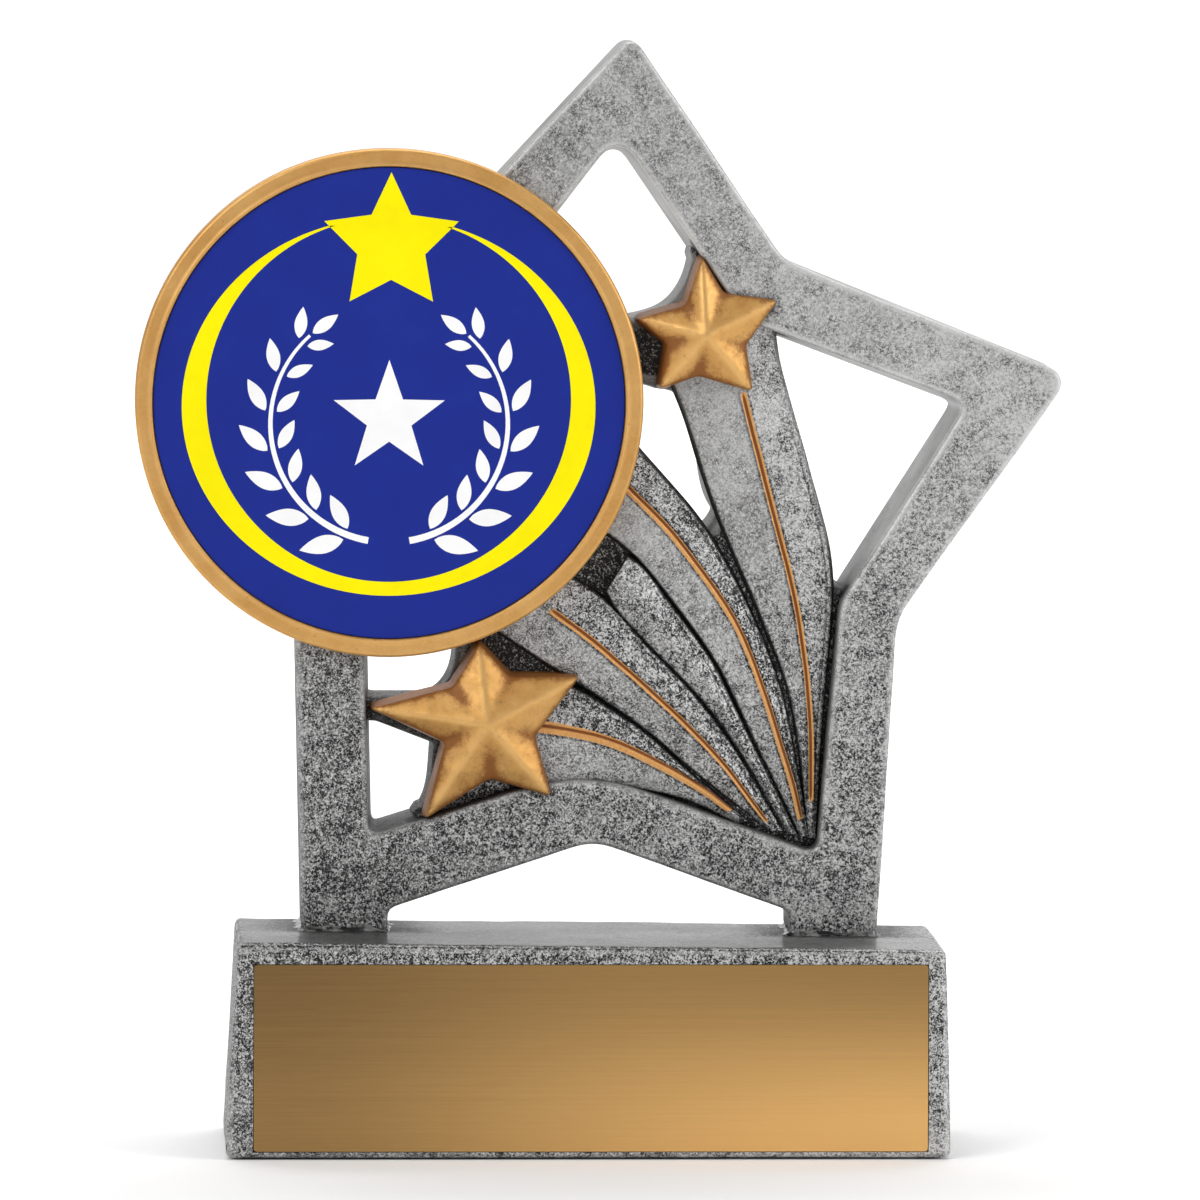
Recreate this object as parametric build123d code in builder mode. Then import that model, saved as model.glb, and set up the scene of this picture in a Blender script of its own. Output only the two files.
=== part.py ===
"""Star trophy: a cast star frame with shooting stars and a round medallion, glued to a plinth.

Millimetres. X runs to the right, Y to the back and Z up. The origin is the middle of the
underside, on the surface that the trophy stands on.
"""

import math
import os

from build123d import *

os.makedirs("parts", exist_ok=True)

# Plinth: a drafted block whose top falls a little from left to right
PLINTH_BOTTOM = (76.6, 28.4)
PLINTH_TOP = (74.8, 26.2)
PLINTH_TOP_SHIFT = 0.35
PLINTH_LIFT = 0.2
PLINTH_HEIGHT = 22.5
TOP_FALL = 0.8
CORNER_RADIUS = 1.2
EDGE_RADIUS = 0.5
UPRIGHT_EDGE_REACH = 3.0

# Felt in a shallow pocket under the plinth
FELT_SIZE = (69.0, 21.0)
FELT_THICKNESS = 1.0
FELT_POCKET_PLAY = 0.4

# Engraving plate in a shallow recess on the plinth's front
PLATE_SIZE = (71.2, 19.7)
PLATE_CENTRE = (0.25, 10.75)
PLATE_THICKNESS = 0.5
TAPE_THICKNESS = 0.15
PLATE_CORNER_RADIUS = 0.35

# Star frame: the plan is drawn on its front face, in X and Z
FRAME_FRONT = 0.5
FRAME_BACK = 11.5
FRAME_DRAFT = 3.4
FRAME_EDGE_RADIUS = 0.5
SHARP_BELOW = 1.0
LEFT_FOOT = (-30.1, -20.9)
RIGHT_FOOT = (22.0, 31.3)

# Shooting-star panel inside the frame
WEB_FRONT = 3.4
TRAIL_STATIONS = 9
TRAIL_GAP = 0.2
TRAIL_CREST_OUTER = 0.6
TRAIL_CREST_INNER = 2.2
TRAIL_SHOULDER_DROP = 0.8

# Small stars
STAR_EDGE = -0.2
STAR_PEAK = -2.6

# Round holder and the centre that it carries
RING_CENTRE = (-21.0, 79.2)
RING_RADIUS = 27.0
RING_EDGE_RADIUS = 0.5
RING_FRONT = -1.5
RING_BACK = 3.0
RING_SEAT_PLAY = 0.05
CENTRE_RADIUS = 25.0
CENTRE_PLAY = 0.1
CENTRE_STEP = 0.35
PRINT_THICKNESS = 0.2
DISC_THICKNESS = 1.2
CENTRE_TAPE_THICKNESS = 0.2
CENTRE_TAPE_RADIUS = 23.0

# Steel pins and glue at the feet
PIN_RADIUS = 1.5
PIN_DEPTH_IN_PLINTH = 9.0
PIN_DEPTH_IN_FOOT = 8.0
PIN_PLAY = 0.05
PIN_CHAMFER = 0.3
DRILL_OVERRUN = 1.0
GLUE_MARGIN = 1.1
GLUE_HEIGHT = 0.9
GLUE_UNDER_FOOT = 0.5


def top_height(x):
    """Height of the plinth's sloping top at a place along X."""
    return PLINTH_HEIGHT - x * TOP_FALL / PLINTH_TOP[0]


def front_plane(y):
    """Sketch plane facing the front, with its own X along X and its own Y along Z."""
    return Plane(origin=(0, y, 0), x_dir=(1, 0, 0), z_dir=(0, -1, 0))


def finish(part, label):
    """Name one piece and write it as a STEP file."""
    part.label = label
    export_step(part, f"parts/{label}.step")


# ---------------------------------------------------------------- plan outlines

# Star frame, outside: each corner with its rounding, clockwise from the top tip
FRAME_OUTSIDE = [
    ((4.7, 118.4), 1.3),
    ((21.0, 94.4), 4.0),
    ((51.7, 82.2), 1.7),
    ((33.3, 56.2), 7.0),
    ((RIGHT_FOOT[1], top_height(RIGHT_FOOT[1])), 0),
    ((RIGHT_FOOT[0], top_height(RIGHT_FOOT[0])), 0),
    ((RIGHT_FOOT[0], 24.9), 0.8),
    ((1.0, 32.4), 6.0),
    ((LEFT_FOOT[1], 25.1), 0.8),
    ((LEFT_FOOT[1], top_height(LEFT_FOOT[1])), 0),
    ((LEFT_FOOT[0], top_height(LEFT_FOOT[0])), 0),
    ((-30.9, 57.0), 7.0),
    ((-46.8, 82.6), 1.7),
    ((-14.4, 97.8), 4.0),
]

# Star frame, inside, clockwise from the top corner
FRAME_INSIDE = [
    ((3.3, 108.0), 2.1),
    ((17.0, 88.0), 1.0),
    ((40.7, 79.2), 1.0),
    ((27.3, 57.9), 4.0),
    ((24.9, 30.9), 0.6),
    ((0.0, 40.0), 20.0),
    ((-23.1, 32.7), 0.6),
    ((-23.7, 58.0), 5.0),
    ((-35.8, 79.8), 1.0),
    ((-10.3, 90.3), 1.0),
]

# Panel that carries the trails and the small stars. It reaches under the frame's bars and
# under the holder, and is trimmed by both.
WEB_FROM_RING_TO_ARM = [(1.0, 87.3), (5.2, 88.1), (8.7, 89.4), (10.5, 91.6), (11.3, 96.6)]
WEB_UNDER_ARM = [(17.0, 92.0), (24.0, 88.0), (20.3, 86.6)]
WEB_RIGHT_EDGE = [(20.3, 86.6), (21.0, 82.2), (23.9, 71.6), (26.4, 60.3)]
WEB_UNDER_LEG = [(28.0, 58.0), (29.0, 40.0), (26.0, 28.0), (0.0, 37.5), (-20.0, 30.5), (-20.4, 34.2)]
WEB_LOWER_WINDOW = [(-20.4, 34.2), (-17.4, 35.4), (-16.2, 39.6), (-16.0, 42.5)]
WEB_BRIDGE = [(-16.0, 42.5), (-22.4, 44.9), (-25.5, 45.2), (-25.5, 47.4), (-17.5, 47.4)]
WEB_UPPER_WINDOW = [(-17.5, 47.4), (-15.6, 48.0), (-14.2, 49.8), (-13.6, 53.2), (-12.4, 58.5)]
WEB_UNDER_RING = [(-12.4, 58.5), (-3.6, 63.6), (1.0, 72.5), (1.0, 87.3)]
SLIVER_RIGHT = [(7.6, 80.5), (9.9, 80.0), (12.6, 72.1), (14.2, 67.4)]
SLIVER_LEFT = [(14.2, 67.4), (12.9, 65.6), (5.8, 74.0), (3.2, 77.6), (3.6, 79.8), (7.6, 80.5)]

# Edges of the five trails, from the outer end to where they meet: side nearer the right leg first
TRAIL_EDGES = [
    (
        [(20.1, 86.3), (20.9, 82.2), (23.9, 71.6), (26.2, 60.3), (25.2, 47.4), (24.4, 32.6)],
        [(8.6, 82.2), (10.9, 77.1), (14.1, 67.4), (18.7, 56.4), (22.2, 46.6), (24.2, 32.6)],
    ),
    (
        [(3.2, 77.0), (5.8, 74.0), (12.8, 65.8), (17.9, 56.4), (21.6, 46.4), (24.1, 32.7)],
        [(-0.8, 67.2), (4.4, 63.6), (8.6, 59.0), (14.0, 51.4), (18.6, 42.2), (23.2, 32.8)],
    ),
    (
        [(4.6, 62.8), (6.4, 61.4), (8.4, 58.8), (13.8, 51.2), (18.2, 42.2), (22.8, 32.9)],
        [(2.3, 59.0), (3.6, 56.9), (6.8, 53.4), (12.2, 47.8), (16.8, 41.8), (21.8, 33.2)],
    ),
    (
        [(-3.0, 61.4), (2.2, 58.1), (6.8, 53.2), (12.0, 47.7), (16.4, 41.8), (21.4, 33.3)],
        [(-9.6, 55.0), (-4.6, 51.6), (1.6, 47.7), (7.3, 43.6), (12.6, 39.0), (19.2, 33.9)],
    ),
    (
        [(-4.4, 49.3), (-0.9, 48.6), (3.4, 46.0), (7.4, 43.2), (11.8, 39.2), (17.6, 34.3)],
        [(-6.4, 40.0), (-3.0, 38.2), (1.6, 39.0), (6.6, 38.2), (11.2, 37.0), (16.4, 34.3)],
    ),
]

# Where each crest runs between its trail's two edges, 0 at the first edge and 1 at the second
TRAIL_CREST_SHARE = [0.42, 0.62, 0.5, 0.5, 0.42]

# Small stars: each tip and the inner corner that follows it, clockwise from the top
UPPER_STAR_CENTRE = (12.6, 86.6)
UPPER_STAR = [
    (12.2, 94.8), (14.6, 90.9), (20.3, 90.1), (16.9, 85.4), (17.7, 80.5),
    (11.9, 82.2), (7.8, 80.7), (8.6, 85.6), (5.4, 88.2), (10.5, 89.7),
]
LOWER_STAR_CENTRE = (-10.4, 45.1)
LOWER_STAR = [
    (-11.3, 53.6), (-8.0, 50.0), (-0.7, 50.0), (-5.4, 43.7), (-3.6, 37.2),
    (-10.0, 39.2), (-17.0, 34.8), (-14.9, 43.0), (-22.9, 46.6), (-14.1, 48.9),
]


def rounded_outline(corners):
    """Closed wire through the corners, each one rounded by its own radius."""
    count = len(corners)
    joins = []
    for index, (corner, radius) in enumerate(corners):
        before = Vector(*corners[index - 1][0])
        after = Vector(*corners[(index + 1) % count][0])
        here = Vector(*corner)
        to_before = (before - here).normalized()
        to_after = (after - here).normalized()
        half_turn = math.radians(to_before.get_angle(to_after)) / 2
        if radius == 0:
            joins.append((here, None, here))
            continue
        reach = radius / math.tan(half_turn)
        bisector = (to_before + to_after).normalized()
        middle = here + bisector * (radius / math.sin(half_turn) - radius)
        joins.append((here + to_before * reach, middle, here + to_after * reach))
    for index, (start, middle, end) in enumerate(joins):
        if middle is not None:
            ThreePointArc(start, middle, end)
        Line(end, joins[(index + 1) % count][0])


# ---------------------------------------------------------------- star frame

with BuildPart() as star_frame:
    with BuildSketch(front_plane(FRAME_BACK)):
        with BuildLine():
            rounded_outline(FRAME_OUTSIDE)
        make_face()
    extrude(amount=FRAME_BACK - FRAME_FRONT)
    with BuildSketch(front_plane(FRAME_FRONT)):
        with BuildLine():
            rounded_outline(FRAME_INSIDE)
        make_face()
    extrude(amount=FRAME_FRONT - FRAME_BACK, taper=FRAME_DRAFT, mode=Mode.SUBTRACT)
    front_edges = star_frame.faces().sort_by(Axis.Y)[0].edges()
    soft_edges = front_edges.filter_by(lambda edge: edge.center().Z > PLINTH_HEIGHT + SHARP_BELOW)
    fillet(soft_edges, FRAME_EDGE_RADIUS)
    with BuildSketch(front_plane(RING_BACK)):
        with Locations(RING_CENTRE):
            Circle(RING_RADIUS + RING_SEAT_PLAY)
    extrude(amount=RING_BACK - RING_FRONT, mode=Mode.SUBTRACT)

# ---------------------------------------------------------------- trail panel

with BuildPart() as trail_web:
    with BuildSketch(front_plane(FRAME_BACK)):
        with BuildLine():
            Spline(*WEB_FROM_RING_TO_ARM)
            Polyline(WEB_FROM_RING_TO_ARM[-1], *WEB_UNDER_ARM)
            Spline(*WEB_RIGHT_EDGE)
            Polyline(WEB_RIGHT_EDGE[-1], *WEB_UNDER_LEG)
            Spline(*WEB_LOWER_WINDOW)
            Polyline(*WEB_BRIDGE)
            Spline(*WEB_UPPER_WINDOW)
            Spline(*WEB_UNDER_RING)
        make_face()
        with BuildLine():
            Spline(*SLIVER_RIGHT)
            Spline(*SLIVER_LEFT)
        make_face(mode=Mode.SUBTRACT)
    extrude(amount=FRAME_BACK - WEB_FRONT)
    add(star_frame.part, mode=Mode.SUBTRACT)


# ---------------------------------------------------------------- small stars

def faceted_star(corners, centre, label):
    """Star with a sharp ridge to every tip, standing on the panel and let into the frame's face."""
    peak = front_plane(STAR_PEAK).from_local_coords(Vector(*centre))
    with BuildPart() as star:
        with BuildSketch(front_plane(WEB_FRONT)):
            with BuildLine():
                Polyline(*corners, close=True)
            make_face()
        extrude(amount=WEB_FRONT - STAR_EDGE)
        outline = star.faces().sort_by(Axis.Y)[0]
        loft(sections=[outline, Vertex(peak)])
        add(star_frame.part, mode=Mode.SUBTRACT)
        add(trail_web.part, mode=Mode.SUBTRACT)
    finish(star.part, label)
    return star


upper_star = faceted_star(UPPER_STAR, UPPER_STAR_CENTRE, "upper_star")
lower_star = faceted_star(LOWER_STAR, LOWER_STAR_CENTRE, "lower_star")


# ---------------------------------------------------------------- trails

def trail_section(right, left, crest_share, crest_y):
    """Roof-shaped section standing across a trail between its two edges."""
    across = (left - right).normalized()
    start = right + across * TRAIL_GAP
    width = (left - right).length - 2 * TRAIL_GAP
    plane = Plane(
        origin=(start.X, WEB_FRONT, start.Y),
        x_dir=(across.X, 0, across.Y),
        z_dir=(across.Y, 0, -across.X),
    )
    crest = WEB_FRONT - crest_y
    shoulder = crest - TRAIL_SHOULDER_DROP
    with BuildSketch(plane) as section:
        with BuildLine():
            Polyline(
                (0, 0), (0, shoulder), (width * crest_share, crest), (width, shoulder), (width, 0),
                close=True,
            )
        make_face()
    return section.sketch.faces()[0]


def trail(edges, crest_share, label):
    """One ray of a shooting star, lower and narrower towards the corner where all five meet.

    It stops short of that corner, where the room between its two edges runs out.
    """
    right_edge = Spline(*edges[0], mode=Mode.PRIVATE)
    left_edge = Spline(*edges[1], mode=Mode.PRIVATE)
    sections = []
    for station in range(TRAIL_STATIONS):
        share = station / TRAIL_STATIONS
        crest_y = TRAIL_CREST_OUTER + (TRAIL_CREST_INNER - TRAIL_CREST_OUTER) * share
        sections.append(trail_section(right_edge @ share, left_edge @ share, crest_share, crest_y))
    with BuildPart() as ray:
        loft(sections=sections, ruled=True)
        add(star_frame.part, mode=Mode.SUBTRACT)
        add(trail_web.part, mode=Mode.SUBTRACT)
        add(upper_star.part, mode=Mode.SUBTRACT)
        add(lower_star.part, mode=Mode.SUBTRACT)
        with BuildSketch(front_plane(RING_BACK)):
            with Locations(RING_CENTRE):
                Circle(RING_RADIUS + RING_SEAT_PLAY)
        extrude(amount=RING_BACK - RING_FRONT, mode=Mode.SUBTRACT)
    finish(ray.part, label)


for number, (edges, crest_share) in enumerate(zip(TRAIL_EDGES, TRAIL_CREST_SHARE), start=1):
    trail(edges, crest_share, f"trail_{number}")

# ---------------------------------------------------------------- holder and centre

print_front = RING_FRONT + CENTRE_STEP
print_back = print_front + PRINT_THICKNESS
disc_back = print_back + DISC_THICKNESS
dish_floor = disc_back + CENTRE_TAPE_THICKNESS

with BuildPart() as medallion_holder:
    with BuildSketch(front_plane(RING_BACK)):
        with Locations(RING_CENTRE):
            Circle(RING_RADIUS)
    extrude(amount=RING_BACK - RING_FRONT)
    fillet(medallion_holder.faces().sort_by(Axis.Y)[0].edges(), RING_EDGE_RADIUS)
    with BuildSketch(front_plane(dish_floor)):
        with Locations(RING_CENTRE):
            Circle(CENTRE_RADIUS + CENTRE_PLAY)
    extrude(amount=dish_floor - RING_FRONT, mode=Mode.SUBTRACT)
finish(medallion_holder.part, "medallion_holder")


def round_layer(radius, back, thickness, label):
    """One round layer of the centre, lying in the holder's dish."""
    with BuildPart() as layer:
        with BuildSketch(front_plane(back)):
            with Locations(RING_CENTRE):
                Circle(radius)
        extrude(amount=thickness)
    finish(layer.part, label)


round_layer(CENTRE_TAPE_RADIUS, dish_floor, CENTRE_TAPE_THICKNESS, "centre_tape")
round_layer(CENTRE_RADIUS, disc_back, DISC_THICKNESS, "centre_disc")
round_layer(CENTRE_RADIUS, print_back, PRINT_THICKNESS, "centre_print")

# ---------------------------------------------------------------- plinth, felt and plate

top_plane = Plane(
    origin=(PLINTH_TOP_SHIFT, 0, top_height(PLINTH_TOP_SHIFT)),
    x_dir=(PLINTH_TOP[0], 0, -TOP_FALL),
    z_dir=(TOP_FALL, 0, PLINTH_TOP[0]),
)
front_lean = (PLINTH_BOTTOM[1] - PLINTH_TOP[1]) / 2 / (PLINTH_HEIGHT + TOP_FALL - PLINTH_LIFT)
front_normal = Vector(0, -1, front_lean).normalized()
plate_y = -PLINTH_BOTTOM[1] / 2 + front_lean * (PLATE_CENTRE[1] - PLINTH_LIFT)
plate_plane = Plane(
    origin=(PLATE_CENTRE[0], plate_y, PLATE_CENTRE[1]), x_dir=(1, 0, 0), z_dir=front_normal
)
plate_depth = PLATE_THICKNESS + TAPE_THICKNESS
foot_depth = (FRAME_FRONT + FRAME_BACK) / 2
foot_middles = [sum(LEFT_FOOT) / 2, sum(RIGHT_FOOT) / 2]

with BuildPart() as plinth:
    with BuildSketch(Plane.XY.offset(PLINTH_LIFT)):
        Rectangle(*PLINTH_BOTTOM)
    with BuildSketch(Plane.XY.offset(PLINTH_HEIGHT + TOP_FALL)):
        with Locations((PLINTH_TOP_SHIFT, 0)):
            Rectangle(*PLINTH_TOP)
    loft(ruled=True)
    split(bisect_by=top_plane, keep=Keep.BOTTOM)
    upright_edges = plinth.edges().filter_by(
        lambda edge: abs(edge.center().Z - PLINTH_HEIGHT / 2) < UPRIGHT_EDGE_REACH
    )
    fillet(upright_edges, CORNER_RADIUS)
    fillet(plinth.faces().sort_by(Axis.Z)[-1].edges(), EDGE_RADIUS)
    with BuildSketch(plate_plane):
        RectangleRounded(*PLATE_SIZE, PLATE_CORNER_RADIUS)
    extrude(amount=-plate_depth, mode=Mode.SUBTRACT)
    with BuildSketch(Plane.XY.offset(PLINTH_LIFT)):
        RectangleRounded(*(side + FELT_POCKET_PLAY for side in FELT_SIZE), CORNER_RADIUS)
    extrude(amount=FELT_THICKNESS - PLINTH_LIFT, mode=Mode.SUBTRACT)
    for middle in foot_middles:
        with BuildSketch(Plane.XY.offset(top_height(middle) - PIN_DEPTH_IN_PLINTH)):
            with Locations((middle, foot_depth)):
                Circle(PIN_RADIUS + PIN_PLAY)
        extrude(amount=PIN_DEPTH_IN_PLINTH + DRILL_OVERRUN, mode=Mode.SUBTRACT)
finish(plinth.part, "plinth")

with BuildPart() as felt_pad:
    with BuildSketch(Plane.XY):
        RectangleRounded(*FELT_SIZE, CORNER_RADIUS)
    extrude(amount=FELT_THICKNESS)
finish(felt_pad.part, "felt_pad")

with BuildPart() as plate_tape:
    with BuildSketch(plate_plane.offset(-plate_depth)):
        RectangleRounded(*PLATE_SIZE, PLATE_CORNER_RADIUS)
    extrude(amount=TAPE_THICKNESS)
finish(plate_tape.part, "plate_tape")

with BuildPart() as engraving_plate:
    with BuildSketch(plate_plane.offset(-PLATE_THICKNESS)):
        RectangleRounded(*PLATE_SIZE, PLATE_CORNER_RADIUS)
    extrude(amount=PLATE_THICKNESS)
finish(engraving_plate.part, "engraving_plate")

# ---------------------------------------------------------------- feet: pin holes, pins and glue

with BuildPart() as drilled_frame:
    add(star_frame.part)
    for middle in foot_middles:
        with BuildSketch(Plane.XY.offset(top_height(middle) - DRILL_OVERRUN)):
            with Locations((middle, foot_depth)):
                Circle(PIN_RADIUS + PIN_PLAY)
        extrude(amount=PIN_DEPTH_IN_FOOT + DRILL_OVERRUN, mode=Mode.SUBTRACT)
finish(drilled_frame.part, "star_frame")
finish(trail_web.part, "trail_web")


def foot_pin(middle, label):
    """Steel pin half in the plinth and half in the foot."""
    with BuildPart() as pin:
        with BuildSketch(Plane.XY.offset(top_height(middle) - PIN_DEPTH_IN_PLINTH)):
            with Locations((middle, foot_depth)):
                Circle(PIN_RADIUS)
        extrude(amount=PIN_DEPTH_IN_PLINTH + PIN_DEPTH_IN_FOOT)
        chamfer(pin.edges().filter_by(GeomType.CIRCLE), PIN_CHAMFER)
    finish(pin.part, label)


def foot_glue(foot, label):
    """Bead of glue squeezed out all round a foot, lying on the plinth's top."""
    width = foot[1] - foot[0]
    depth = FRAME_BACK - FRAME_FRONT
    middle = sum(foot) / 2
    with BuildPart() as bead:
        with BuildSketch(top_plane):
            with Locations((middle - PLINTH_TOP_SHIFT, foot_depth)):
                RectangleRounded(width + 2 * GLUE_MARGIN, depth + 2 * GLUE_MARGIN, GLUE_MARGIN)
                inner_width = width - 2 * GLUE_UNDER_FOOT
                inner_depth = depth - 2 * GLUE_UNDER_FOOT
                Rectangle(inner_width, inner_depth, mode=Mode.SUBTRACT)
        extrude(amount=GLUE_HEIGHT)
        outer_rim = bead.faces().sort_by(Axis.Z)[-1].outer_wire().edges()
        fillet(outer_rim, GLUE_HEIGHT / 2)
        add(star_frame.part, mode=Mode.SUBTRACT)
    finish(bead.part, label)


foot_pin(foot_middles[0], "left_foot_pin")
foot_pin(foot_middles[1], "right_foot_pin")
foot_glue(LEFT_FOOT, "left_foot_glue")
foot_glue(RIGHT_FOOT, "right_foot_glue")
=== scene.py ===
"""Star trophy: a cast star frame with shooting stars and a round medallion on a block plinth.

Lengths in the modelling functions are millimetres, in the CAD's own frame: X to the right, Y to
the back, Z up, with the origin in the middle of the plinth's underside. Meshes are written in metres.
"""

import math

import bpy
import numpy as np
from mathutils import Matrix, Vector, geometry, noise


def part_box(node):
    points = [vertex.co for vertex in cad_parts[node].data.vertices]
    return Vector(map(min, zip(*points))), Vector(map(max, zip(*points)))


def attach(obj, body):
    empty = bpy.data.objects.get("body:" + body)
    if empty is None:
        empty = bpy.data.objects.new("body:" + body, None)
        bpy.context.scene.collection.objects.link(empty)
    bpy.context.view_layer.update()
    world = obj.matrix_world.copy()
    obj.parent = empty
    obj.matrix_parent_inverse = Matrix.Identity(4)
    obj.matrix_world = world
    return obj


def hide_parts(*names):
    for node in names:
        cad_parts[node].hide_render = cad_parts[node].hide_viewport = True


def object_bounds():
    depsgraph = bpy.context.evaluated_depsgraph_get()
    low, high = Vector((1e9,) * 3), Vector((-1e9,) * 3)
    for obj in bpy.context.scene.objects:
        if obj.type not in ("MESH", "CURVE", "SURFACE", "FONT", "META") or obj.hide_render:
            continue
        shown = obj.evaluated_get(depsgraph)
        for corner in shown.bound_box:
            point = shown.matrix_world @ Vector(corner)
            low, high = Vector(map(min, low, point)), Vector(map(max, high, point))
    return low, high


bl_info = {
    "name": "Star Trophy",
    "version": (1, 0, 0),
    "blender": (4, 5, 0),
    "location": "3D View > Sidebar > Trophy",
    "description": "Builds a cast star trophy with its materials around the CAD frame",
    "category": "Add Mesh",
}

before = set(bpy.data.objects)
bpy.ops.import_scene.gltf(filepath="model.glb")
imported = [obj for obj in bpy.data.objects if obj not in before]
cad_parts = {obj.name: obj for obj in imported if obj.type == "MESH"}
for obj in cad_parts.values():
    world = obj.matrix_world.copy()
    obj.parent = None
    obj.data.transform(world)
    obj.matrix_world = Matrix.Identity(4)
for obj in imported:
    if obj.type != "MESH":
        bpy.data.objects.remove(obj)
CAD_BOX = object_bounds()

MM = 0.001
BODY = "root"


def cad_box(node):
    """Lowest and highest corner of a CAD node, in millimetres."""
    low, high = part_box(node)
    return np.array(low) / MM, np.array(high) / MM


# ---------------------------------------------------------------- places read from the frame

FRAME_LOW, FRAME_HIGH = cad_box("star_frame")
WEB_LOW, _ = cad_box("trail_web")
RING_LOW, RING_HIGH = cad_box("medallion_holder")
PRINT_LOW, PRINT_HIGH = cad_box("centre_print")
_, TAPE_HIGH = cad_box("centre_tape")
PLATE_LOW, PLATE_HIGH = cad_box("engraving_plate")
FELT_LOW, FELT_HIGH = cad_box("felt_pad")
PLINTH_LOW, PLINTH_HIGH = cad_box("plinth")
STAR_LOW, _ = cad_box("upper_star")

FRAME_FRONT, FRAME_BACK = FRAME_LOW[1], FRAME_HIGH[1]
WEB_FRONT = WEB_LOW[1]
RING_FRONT, RING_BACK = RING_LOW[1], RING_HIGH[1]
RING_CENTRE = (RING_LOW[[0, 2]] + RING_HIGH[[0, 2]]) / 2
RING_RADIUS = (RING_HIGH[0] - RING_LOW[0]) / 2
CENTRE_RADIUS = (PRINT_HIGH[0] - PRINT_LOW[0]) / 2
PRINT_FRONT = PRINT_LOW[1]
DISH_FLOOR = TAPE_HIGH[1]
STAR_PEAK = STAR_LOW[1]

# ---------------------------------------------------------------- shapes that the casting repeats

# How far the frame's drafted inner walls lean inwards from front to back
INNER_DRAFT = math.radians(3.4)
INNER_WALL_LEAN = (FRAME_BACK - FRAME_FRONT) * math.tan(INNER_DRAFT)

# Depth at which the small stars' fronts meet their outlines
STAR_EDGE = -0.2

# Side of each trail nearer the right leg, its crest, and its other side, from the outer end inwards
TRAILS = {
    "trail_1": (
        [(19.7, 89.6), (20.1, 86.3), (20.9, 82.2), (23.9, 71.6), (26.4, 60.3), (25.7, 47.4), (24.7, 32.6)],
        [(14.9, 88.0), (15.6, 84.6), (16.9, 79.8), (20.2, 67.0), (22.6, 57.4), (24.1, 46.1), (24.35, 36.0),
         (24.4, 32.6)],
        [(9.0, 84.6), (8.9, 82.2), (10.9, 77.1), (14.1, 67.4), (18.7, 56.4), (22.2, 46.6), (24.2, 32.6)],
    ),
    "trail_2": (
        [(3.2, 77.0), (5.8, 74.0), (12.8, 65.8), (17.9, 56.4), (21.6, 46.4), (24.1, 32.7)],
        [(1.6, 72.6), (4.8, 69.8), (10.3, 63.9), (16.6, 54.5), (21.6, 40.6), (23.6, 32.8)],
        [(-0.8, 67.2), (4.4, 63.6), (8.6, 59.0), (14.0, 51.4), (18.6, 42.2), (23.2, 32.8)],
    ),
    "trail_3": (
        [(4.6, 62.8), (6.4, 61.4), (8.4, 58.8), (13.8, 51.2), (18.2, 42.2), (22.8, 32.9)],
        [(3.4, 60.9), (5.0, 59.2), (7.6, 56.1), (13.0, 49.5), (17.5, 42.0), (22.3, 33.0)],
        [(2.3, 59.0), (3.6, 56.9), (6.8, 53.4), (12.2, 47.8), (16.8, 41.8), (21.8, 33.2)],
    ),
    "trail_4": (
        [(-3.0, 61.4), (2.2, 58.1), (6.8, 53.2), (12.0, 47.7), (16.4, 41.8), (21.4, 33.3)],
        [(-6.2, 58.6), (-3.2, 56.7), (1.6, 53.1), (8.6, 46.9), (14.4, 41.0), (20.2, 33.4)],
        [(-9.6, 55.0), (-4.6, 51.6), (1.6, 47.7), (7.3, 43.6), (12.6, 39.0), (19.2, 33.9)],
    ),
    "trail_5": (
        [(-4.4, 49.3), (-0.9, 48.6), (3.4, 46.0), (7.4, 43.2), (11.8, 39.2), (17.6, 34.3)],
        [(-7.4, 44.4), (-4.0, 44.2), (1.5, 43.1), (6.2, 41.2), (12.3, 37.8), (17.0, 34.4)],
        [(-6.4, 38.9), (-3.0, 38.0), (1.6, 38.5), (6.6, 37.7), (11.2, 36.5), (16.4, 34.1)],
    ),
}

# Gilt line on each crest: how far it reaches to the right and to the left, and the shares of the
# trail's length where it starts and ends
GILT = {
    "trail_1": (0.36, 0.38, 0.14, 0.93),
    "trail_2": (0.44, 0.46, 0.03, 0.96),
    "trail_4": (0.42, 0.36, 0.08, 0.97),
    "trail_5": (1.10, 0.30, 0.0, 0.93),
}

# How much darker the right and the left side of each trail are made; less than 0 makes it lighter
SIDE_DARKENING = {
    "trail_1": (-0.08, -0.02),
    "trail_2": (0.18, -0.14),
    "trail_3": (-0.05, -0.02),
    "trail_4": (-0.12, -0.12),
    "trail_5": (-0.02, -0.28),
}

# How much coarser, or below 0 finer, the dry-brushed stipple is on the right and the left side
SIDE_BRUSH = {
    "trail_1": (0.4, -0.4),
    "trail_2": (1.0, -0.6),
    "trail_3": (0.4, 0.1),
    "trail_4": (1.0, -0.6),
    "trail_5": (1.1, -0.9),
}

# Which number of each pair is which side, and what a trail without a gilt line has
RIGHT, LEFT = 0, 1
NO_GILT = (0, 0, 2, 3)

# Where each gilt line's groove runs, measured from the crest towards the right side
GROOVE_AT = {"trail_1": -0.06, "trail_2": 0.16, "trail_4": 0.12, "trail_5": 0.55}

# How far each trail runs on under its neighbour, and how deep the valley between two trails falls
EDGE_OVERLAP = 0.25
VALLEY_DROP = 1.1

# Deepest that a valley between two trails goes, just inside the panel
TRAIL_FLOOR = WEB_FRONT + 0.25

# Depth of the crests at the trails' outer and inner ends, and how far their sides drop at the outer end
CREST_OUTER = 0.6
CREST_INNER = 2.2
SHOULDER_DROP = 1.15

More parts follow.
